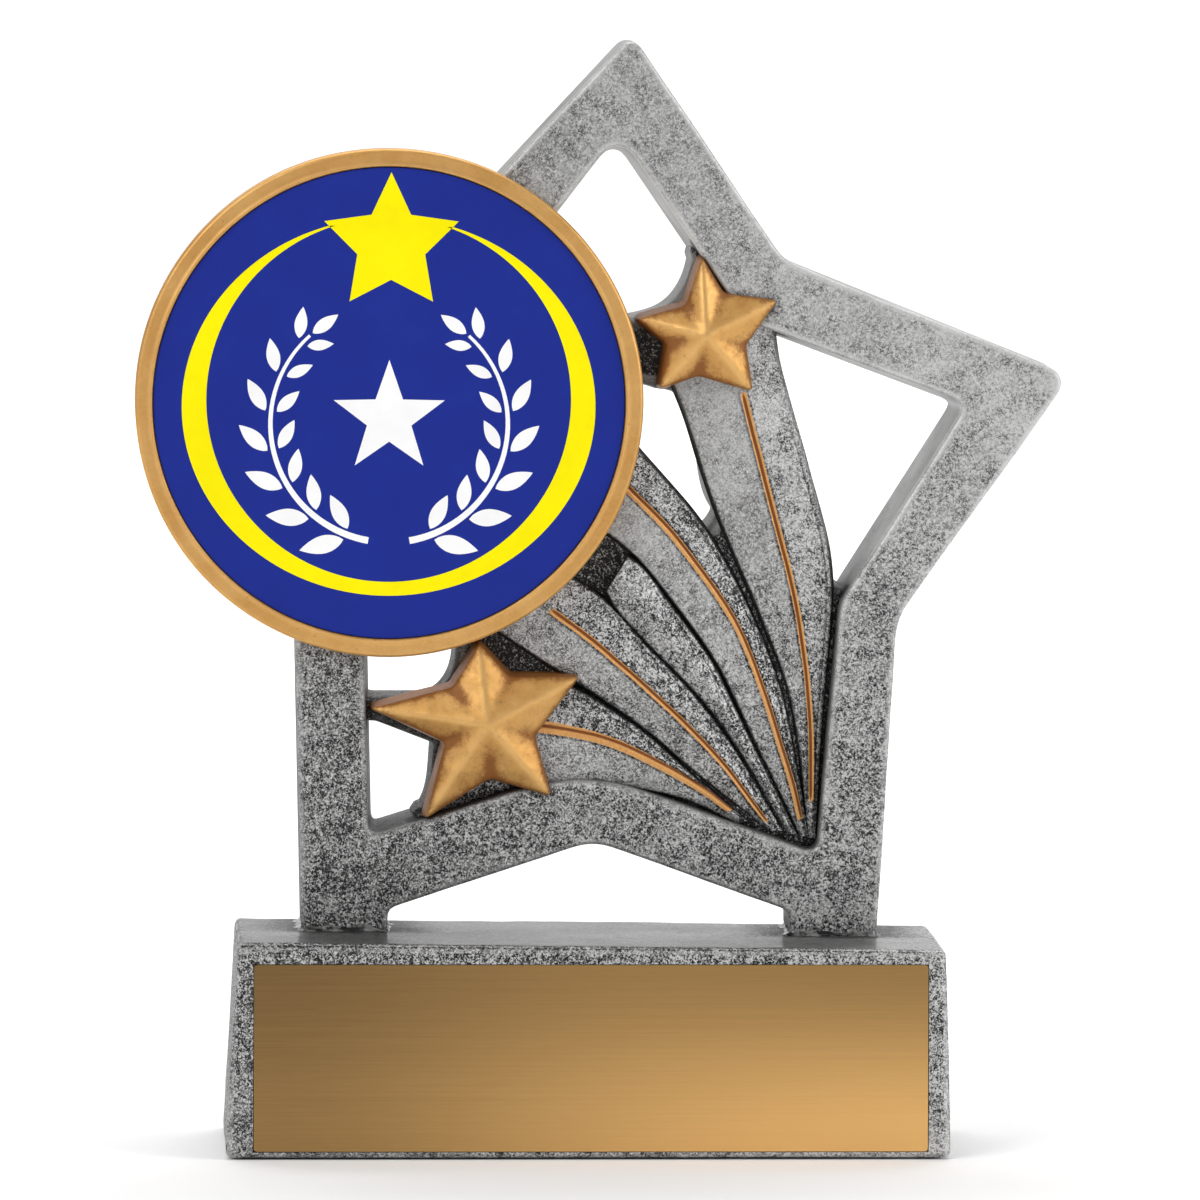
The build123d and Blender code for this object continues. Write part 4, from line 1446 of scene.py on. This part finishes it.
def build_printed_centre():
    """Blue film on its backing, with a yellow ring and star and a white laurel in place of lettering."""
    paint = colours()
    dress("centre_print", smooth_print("blue film", paint.film))
    dress("centre_disc", plain_layer("white styrene", paint.styrene, 0.8, 0.5, 0.01))
    dress("centre_tape", plain_layer("foam tape", paint.tape, 0.4, 0.9, 0.05))
    yellow = smooth_print("yellow ink", paint.ink_yellow)
    white = smooth_print("white ink", paint.ink_white)
    inlay("artwork_ring", [crescent()], yellow)
    inlay("artwork_star", [ARTWORK_STAR], yellow)
    inlay("artwork_laurel_left", laurel(-1), white)
    inlay("artwork_laurel_right", laurel(1), white)
    inlay("artwork_small_star", [flat_star(SMALL_STAR_CENTRE, SMALL_STAR_REACH)], white)


# ---------------------------------------------------------------- plinth and feet

def spaced_lines(low, high, radius, extra=(), gap=1.2):
    """Grid lines across a side: close together at its rounded edges, with the extra lines kept."""
    tight = [radius * (1 - math.tan(angle)) for angle in np.radians([45, 38, 30, 20, 10, 0])]
    lines = sorted([low + line for line in tight] + [high - line for line in tight] + list(extra))
    filled = [lines[0]]
    for line in lines[1:]:
        steps = max(int(math.ceil((line - filled[-1]) / gap)), 1)
        begin = filled[-1]
        filled += [begin + (line - begin) * step / steps for step in range(1, steps + 1)]
    return np.array(filled)


def recess_lines(low, high):
    """Grid lines on both sides of a recess's walls, just outside what lies in it."""
    return [low - 0.06, low - 0.02, high + 0.02, high + 0.06]


def between_lines(values, lines):
    """Which values lie within a recess, given its four grid lines."""
    return (values > lines[0] + 0.02) & (values < lines[3] - 0.02)


def stretched(values, knots, targets):
    """Values moved piecewise from fixed knots to targets that differ from point to point."""
    moved = np.array(values, float)
    for index in range(len(knots) - 1):
        part = (values >= knots[index]) & (values <= knots[index + 1])
        share = (values - knots[index]) / (knots[index + 1] - knots[index])
        start = np.broadcast_to(targets[index], values.shape)
        end = np.broadcast_to(targets[index + 1], values.shape)
        moved[part] = (start + (end - start) * share)[part]
    return moved


def box_grid(xs, ys, zs):
    """Points and outward faces of a box that is cut by grid lines in each direction."""
    index_of, points, faces = {}, [], []

    def corner(x, y, z):
        """Index of the point at this place, which neighbouring sides share."""
        key = (round(x, 4), round(y, 4), round(z, 4))
        if key not in index_of:
            index_of[key] = len(points)
            points.append(key)
        return index_of[key]

    def side(first_lines, second_lines, turn, place):
        """One side's faces; a turn of -1 runs each face the other way round."""
        for a0, a1 in zip(first_lines, first_lines[1:]):
            for b0, b1 in zip(second_lines, second_lines[1:]):
                face = [corner(*place(a, b)) for a, b in ((a0, b0), (a1, b0), (a1, b1), (a0, b1))]
                faces.append(face[::turn])

    side(xs, zs, 1, lambda a, b: (a, ys[0], b))
    side(xs, zs, -1, lambda a, b: (a, ys[-1], b))
    side(ys, zs, -1, lambda a, b: (xs[0], a, b))
    side(ys, zs, 1, lambda a, b: (xs[-1], a, b))
    side(xs, ys, -1, lambda a, b: (a, b, zs[0]))
    side(xs, ys, 1, lambda a, b: (a, b, zs[-1]))
    return np.array(points, float), faces


def softened_box(box, height, radius):
    """Box grid with rounded edges, tightest along the bottom; its flat sides stay flat."""
    inner_low = np.array([-TOP_HALF_X, -TOP_HALF_Y, 0]) + radius
    inner_high = np.array([TOP_HALF_X, TOP_HALF_Y, height]) - radius
    core = np.clip(box, inner_low, inner_high)
    core[:, 2] = np.maximum(core[:, 2], np.minimum(box[:, 2], radius * 0.3))
    push = box - core
    span = np.linalg.norm(push, axis=1)[:, None]
    rounded = np.where(span > TINY, core + push * radius / np.maximum(span, TINY), box)
    flat = (np.abs(push) > TINY).sum(axis=1) == 1
    rounded[flat] = box[flat]
    return rounded


def drafted_block(points, height):
    """The straight block drafted and tilted to the plinth's shape, its recess kept square to the plate."""
    bottom_half = (PLINTH_HIGH[0] - PLINTH_LOW[0]) / 2
    bottom_depth = (PLINTH_HIGH[1] - PLINTH_LOW[1]) / 2
    plate_low, plate_high = PLATE_LOW[2] - PLINTH_LOW[2], PLATE_HIGH[2] - PLINTH_LOW[2]
    rise = points[:, 2] / height
    wide = bottom_half + (TOP_HALF_X - bottom_half) * rise
    deep = bottom_depth + (TOP_HALF_Y - bottom_depth) * rise
    shift = TOP_SHIFT * rise
    x = stretched(
        points[:, 0], (-TOP_HALF_X, PLATE_LOW[0], PLATE_HIGH[0], TOP_HALF_X),
        (shift - wide, PLATE_LOW[0], PLATE_HIGH[0], shift + wide),
    )
    z = PLINTH_LOW[2] + stretched(
        points[:, 2], (0, plate_low, plate_high, height),
        (0, plate_low, plate_high, top_height(x) - PLINTH_LOW[2]),
    )
    return np.column_stack([x, points[:, 1] * deep / TOP_HALF_Y, z])


def pooled_wash_and_reflection(points):
    """Black wash that has run together round the feet, with a painted dark reflection of the feet in the top.
    """
    near_feet = np.zeros(len(points))
    for foot in (LEFT_FOOT, RIGHT_FOOT):
        gap_x = np.maximum(np.maximum(foot[0] - points[:, 0], points[:, 0] - foot[1]), 0)
        gap_y = np.maximum(np.maximum(FRAME_FRONT - points[:, 1], points[:, 1] - FRAME_BACK), 0)
        near_feet += np.exp(-((gap_x / 3.2) ** 2 + (gap_y / 1.2) ** 2))
    return np.clip(near_feet * (1.5 + 1.2 * wander(points, 1.8, 17)), 0, 1.6)


def build_plinth():
    """Block plinth with soft edges, a recess for the plate, a pocket for the felt and a polished top."""
    radius, gap = 0.7, 0.15
    height = PLINTH_TOP_Z - PLINTH_LOW[2]
    plate_low, plate_high = PLATE_LOW[2] - PLINTH_LOW[2], PLATE_HIGH[2] - PLINTH_LOW[2]
    plate_x, plate_z = recess_lines(PLATE_LOW[0], PLATE_HIGH[0]), recess_lines(plate_low, plate_high)
    felt_x, felt_y = (recess_lines(FELT_LOW[axis] - gap, FELT_HIGH[axis] + gap) for axis in (0, 1))
    xs = spaced_lines(-TOP_HALF_X, TOP_HALF_X, radius, plate_x + felt_x)
    ys = spaced_lines(-TOP_HALF_Y, TOP_HALF_Y, radius, felt_y)
    zs = spaced_lines(0, height, radius, plate_z)
    box, faces = box_grid(xs, ys, zs)
    placed = drafted_block(softened_box(box, height, radius), height)

    on_front = box[:, 1] < -TOP_HALF_Y + TINY
    on_top = box[:, 2] > height - TINY
    cast = np.column_stack([wander(placed, 9, seed) for seed in (11, 12, 13)]) * 0.10
    cast += np.column_stack([wander(placed, 2.5, seed) for seed in (14, 15, 16)]) * 0.04
    cast[on_front] *= (0.15, 0.5, 0.15)
    cast[placed[:, 2] < 1.5] *= 0.3
    placed = placed + cast

    behind_plate = on_front & between_lines(box[:, 0], plate_x) & between_lines(box[:, 2], plate_z)
    placed[behind_plate, 1] += PLATE_RECESS
    over_felt = (box[:, 2] < TINY) & between_lines(box[:, 0], felt_x) & between_lines(box[:, 1], felt_y)
    placed[over_felt, 2] = FELT_HIGH[2] + 0.02

    below_top = height - box[:, 2]
    edge_gaps = np.sort(np.column_stack([
        TOP_HALF_X - np.abs(box[:, 0]), TOP_HALF_Y - np.abs(box[:, 1]), np.minimum(below_top, NO_RIM),
    ]), axis=1)
    # On the front face the clean band lies on the top edge's rounding as a painted highlight
    rim = np.where(on_front & (below_top < 3), np.abs(below_top - 0.45), edge_gaps[:, 1]) * 1.6
    # Black wash pooled round the feet, with a painted dark reflection of the feet
    pooled = pooled_wash_and_reflection(placed)
    # Painted shade: a thin dark line just under the front top edge
    top_shade_line = 0.9 * np.exp(-((below_top - 0.1) / 0.16) ** 2)
    wash_and_shade = np.where(on_top, pooled, 0.0) + np.where(on_front & ~on_top, top_shade_line, 0)
    polish = smoothstep(0.3, 1.4, rim) * (1 - 0.6 * np.clip(pooled, 0, 1))
    marks = {"rim": rim, "wash_and_shade": wash_and_shade, "polish": np.where(on_top, polish, 0.0)}
    material = material_once("plinth silver", lambda name: antique_silver(name, PLINTH_SILVER))
    return new_piece(
        "plinth_casting", placed, faces, material, ("plinth",), marks, sharp=75
    )


def build_foot_glue(name, foot, stands_for, seed):
    """Uneven glossy fillet of glue round one foot, on the plinth's top."""
    rows, radius = 8, 0.5
    xs, ys = (foot[0] + radius, foot[1] - radius), (FRAME_FRONT + radius, FRAME_BACK - radius)
    outline = []
    corners = ((1, 1, 0), (0, 1, 90), (0, 0, 180), (1, 0, 270))
    for x_end, y_end, start in corners:
        middle = (xs[x_end], ys[y_end])
        for angle in np.radians(np.linspace(start, start + 90, 9)):
            outline.append((middle[0] + radius * math.cos(angle), middle[1] + radius * math.sin(angle)))
    outline = resampled(np.array(outline), 0.22)
    count = len(outline)
    outward = -inward_normals(outline)
    flat = np.column_stack([outline, np.full(count, seed)])
    wide = 0.62 + 0.75 * np.clip(wander(flat, 2.4, seed), -0.5, 1) + 0.25 * wander(flat, 0.9, seed + 1)
    tall = 0.42 + 0.45 * np.clip(wander(flat, 2.0, seed + 2), -0.6, 1) + 0.2 * wander(flat, 0.8, seed + 3)
    wide, tall = np.clip(wide, 0.15, 1.1), np.clip(tall, 0.12, 0.9)
    rings = [(-0.45, -0.3), (0.99, -0.12)]
    for angle in np.radians(np.linspace(0, 90, rows)):
        rings.append((1 - math.sin(angle), 1 - math.cos(angle)))
    rings.append((-0.45, 0.9))
    points, marks = [], []
    for out, up in rings:
        across = np.where(out > 0, out * wide, out)
        place = outline + outward * across[:, None]
        ripple = 0.09 * wander(np.column_stack([place, np.full(count, up)]), 0.7, seed + 4) * (0 < up)
        level = top_height(place[:, 0]) + up * tall + ripple
        points.append(np.column_stack([place, level]))
        marks.append(np.full(count, 0.35 * (1 - abs(2 * min(max(up, 0), 1) - 1)) + 0.15))
    points = np.concatenate(points)
    faces = []
    for ring in range(len(rings)):
        low, high = ring * count, (ring + 1) % len(rings) * count
        for index in range(count):
            after = (index + 1) % count
            faces.append((low + index, low + after, high + after, high + index))
    material = material_once("painted glue", painted_glue)
    return new_piece(
        name, points, faces, material, (stands_for,), {"wash_and_shade": np.concatenate(marks)}, sharp=70
    )


# ---------------------------------------------------------------- studio

def soft_light(name, place, aim, width, power):
    """Square area light turned towards a point."""
    data = bpy.data.lights.new(name, "AREA")
    data.shape = "SQUARE"
    data.size = width
    data.energy = power
    light = bpy.data.objects.new(name, data)
    light.location = place
    light.rotation_euler = (Vector(aim) - Vector(place)).to_track_quat("-Z", "Y").to_euler()
    bpy.context.scene.collection.objects.link(light)


def build_floor():
    """Pale floor that runs up into a backdrop in one soft curve."""
    half, near, far, bend, wall = 4.0, -2.5, 2.2, 1.2, 3.2
    profile = [(near, 0.0), (0.0, 0.0), (far, 0.0)]
    for angle in np.radians(np.linspace(0, 90, 25)[1:]):
        profile.append((far + bend * math.sin(angle), bend * (1 - math.cos(angle))))
    profile.append((far + bend, wall))
    mesh = bpy.data.meshes.new("studio_floor")
    columns = np.linspace(-half, half, 9)
    points = [(x, y, z) for y, z in profile for x in columns]
    faces = []
    for row in range(len(profile) - 1):
        for column in range(len(columns) - 1):
            here = row * len(columns) + column
            faces.append((here, here + 1, here + 1 + len(columns), here + len(columns)))
    mesh.from_pydata(points, [], faces)
    mesh.polygons.foreach_set("use_smooth", [True] * len(faces))
    floor = bpy.data.objects.new("studio_floor", mesh)
    bpy.context.scene.collection.objects.link(floor)
    material, wiring, shader, place = new_material("pale floor")
    patches = use_group(wiring, patches_group(), Place=place, Size=0.4)["Value"]
    tint = colours().floor
    wiring.feed(shader.inputs["Base Color"], wiring.mix(patches, [value * 0.985 for value in tint], tint))
    shader.inputs["Roughness"].default_value = 0.85
    shader.inputs["Specular IOR Level"].default_value = 0.1
    mesh.materials.append(material)


def build_camera():
    """Camera a little to the left of the front and a little above it."""
    yaw, pitch, roll = (math.radians(angle) for angle in (2.65, 4.23, 0.29))
    off_middle = Vector((0.157, 0, -0.587)) * MM
    low, high = (Vector(corner) for corner in CAD_BOX)
    aim = Vector(((low.x + high.x) / 2, 0, (low.z + high.z) / 2)) + off_middle
    forward = Vector((
        math.sin(yaw) * math.cos(pitch), math.cos(yaw) * math.cos(pitch), -math.sin(pitch),
    ))
    data = bpy.data.cameras.new("studio_camera")
    data.sensor_width = 36
    data.lens = sizes().camera_lens
    data.clip_end = 30
    camera = bpy.data.objects.new("studio_camera", data)
    camera.rotation_mode = "QUATERNION"
    turn = forward.to_track_quat("-Z", "Y").to_matrix() @ Matrix.Rotation(roll, 3, "Z")
    camera.rotation_quaternion = turn.to_quaternion()
    camera.location = aim - forward * sizes().camera_distance
    bpy.context.scene.collection.objects.link(camera)
    bpy.context.scene.camera = camera


def build_lights():
    """Large soft lights all round and a bright pale surround."""
    middle = (0.0, 0.0, 0.06)
    soft_light("left_softbox", (-0.75, -0.75, 0.75), middle, 0.7, 7)
    soft_light("right_softbox", (0.95, -0.45, 0.45), middle, 0.6, 5.5)
    soft_light("top_softbox", (0.0, 0.25, 1.1), middle, 0.8, 4)
    soft_light("backdrop_light", (0.0, 1.2, 1.9), (0.0, 2.6, 0.5), 2.0, 60)
    world = bpy.data.worlds.new("studio_world")
    world.use_nodes = True
    surround = world.node_tree.nodes["Background"]
    surround.inputs["Color"].default_value = (1, 1, 1, 1)
    surround.inputs["Strength"].default_value = 0.3
    bpy.context.scene.world = world
    bpy.context.scene.view_settings.view_transform = "Standard"


# ---------------------------------------------------------------- operators

class TrophyOperator:
    """What all the trophy's operators share."""

    bl_options = {"REGISTER", "UNDO"}


class TROPHY_OT_star_frame(TrophyOperator, bpy.types.Operator):
    """Cast the star frame with its two feet"""

    bl_idname = "trophy.star_frame"
    bl_label = "Star Frame"

    def execute(self, context):
        build_star_frame()
        return {"FINISHED"}


class TROPHY_OT_trail_panel(TrophyOperator, bpy.types.Operator):
    """Cast the panel that carries the trails and the small stars"""

    bl_idname = "trophy.trail_panel"
    bl_label = "Trail Panel"

    def execute(self, context):
        build_trail_panel()
        return {"FINISHED"}


class TROPHY_OT_trails(TrophyOperator, bpy.types.Operator):
    """Cast the five trails with their gilt lines"""

    bl_idname = "trophy.trails"
    bl_label = "Trails"

    def execute(self, context):
        for name in TRAILS:
            build_trail(name)
        return {"FINISHED"}


class TROPHY_OT_small_stars(TrophyOperator, bpy.types.Operator):
    """Cast the two small gold stars"""

    bl_idname = "trophy.small_stars"
    bl_label = "Small Stars"

    def execute(self, context):
        build_small_star("upper_star_casting", UPPER_STAR, "upper_star")
        build_small_star("lower_star_casting", LOWER_STAR, "lower_star")
        return {"FINISHED"}


class TROPHY_OT_holder(TrophyOperator, bpy.types.Operator):
    """Turn the round holder of the printed centre"""

    bl_idname = "trophy.holder"
    bl_label = "Medallion Holder"

    def execute(self, context):
        build_holder()
        return {"FINISHED"}


class TROPHY_OT_printed_centre(TrophyOperator, bpy.types.Operator):
    """Print the round centre with its ring, star and laurel"""

    bl_idname = "trophy.printed_centre"
    bl_label = "Printed Centre"

    def execute(self, context):
        build_printed_centre()
        return {"FINISHED"}


class TROPHY_OT_plinth(TrophyOperator, bpy.types.Operator):
    """Cast the block plinth, with the felt under it"""

    bl_idname = "trophy.plinth"
    bl_label = "Plinth"

    def execute(self, context):
        build_plinth()
        dress("felt_pad", plain_layer("black felt", colours().felt, 0.25, 0.95, 0.15))
        return {"FINISHED"}


class TROPHY_OT_plate(TrophyOperator, bpy.types.Operator):
    """Finish the brushed engraving plate and its tape"""

    bl_idname = "trophy.plate"
    bl_label = "Engraving Plate"

    def execute(self, context):
        dress("engraving_plate", brushed_plate("brushed gold plate"))
        dress("plate_tape", bpy.data.materials["foam tape"])
        return {"FINISHED"}


class TROPHY_OT_feet(TrophyOperator, bpy.types.Operator):
    """Glue the feet to the plinth and finish the pins inside them"""

    bl_idname = "trophy.feet"
    bl_label = "Feet"

    def execute(self, context):
        build_foot_glue("left_foot_glue_bead", LEFT_FOOT, "left_foot_glue", 21)
        build_foot_glue("right_foot_glue_bead", RIGHT_FOOT, "right_foot_glue", 34)
        steel = plain_layer("drawn steel", colours().steel, 0.5, 0.35, 0.01, metallic=1.0)
        dress("left_foot_pin", steel)
        dress("right_foot_pin", steel)
        return {"FINISHED"}


class TROPHY_OT_studio(TrophyOperator, bpy.types.Operator):
    """Set up the floor, the soft lights and the camera"""

    bl_idname = "trophy.studio"
    bl_label = "Studio"

    def execute(self, context):
        build_floor()
        build_camera()
        build_lights()
        return {"FINISHED"}


OPERATORS = (
    TROPHY_OT_star_frame, TROPHY_OT_trail_panel, TROPHY_OT_trails, TROPHY_OT_small_stars,
    TROPHY_OT_holder, TROPHY_OT_printed_centre, TROPHY_OT_plinth, TROPHY_OT_plate,
    TROPHY_OT_feet, TROPHY_OT_studio,
)


class TROPHY_PT_panel(bpy.types.Panel):
    """Sidebar panel with the trophy's steps, sizes and colours"""

    bl_label = "Star Trophy"
    bl_idname = "TROPHY_PT_panel"
    bl_space_type = "VIEW_3D"
    bl_region_type = "UI"
    bl_category = "Trophy"

    def draw(self, context):
        layout = self.layout
        for operator in OPERATORS:
            layout.operator(operator.bl_idname)
        for group in (context.scene.trophy_sizes, context.scene.trophy_colours):
            column = layout.column(align=True)
            for label in group.__annotations__:
                column.prop(group, label)


CLASSES = (TrophySizes, TrophyColours) + OPERATORS + (TROPHY_PT_panel,)


def register():
    """Register the classes and hang the settings on the scene."""
    for item in CLASSES:
        bpy.utils.register_class(item)
    bpy.types.Scene.trophy_sizes = bpy.props.PointerProperty(type=TrophySizes)
    bpy.types.Scene.trophy_colours = bpy.props.PointerProperty(type=TrophyColours)


def unregister():
    """Take the settings off the scene and unregister the classes."""
    del bpy.types.Scene.trophy_colours
    del bpy.types.Scene.trophy_sizes
    for item in reversed(CLASSES):
        bpy.utils.unregister_class(item)


def main():
    """Build the trophy and its studio."""
    register()
    for operator in OPERATORS:
        group, _, label = operator.bl_idname.partition(".")
        getattr(getattr(bpy.ops, group), label)()


if __name__ == "__main__":
    main()
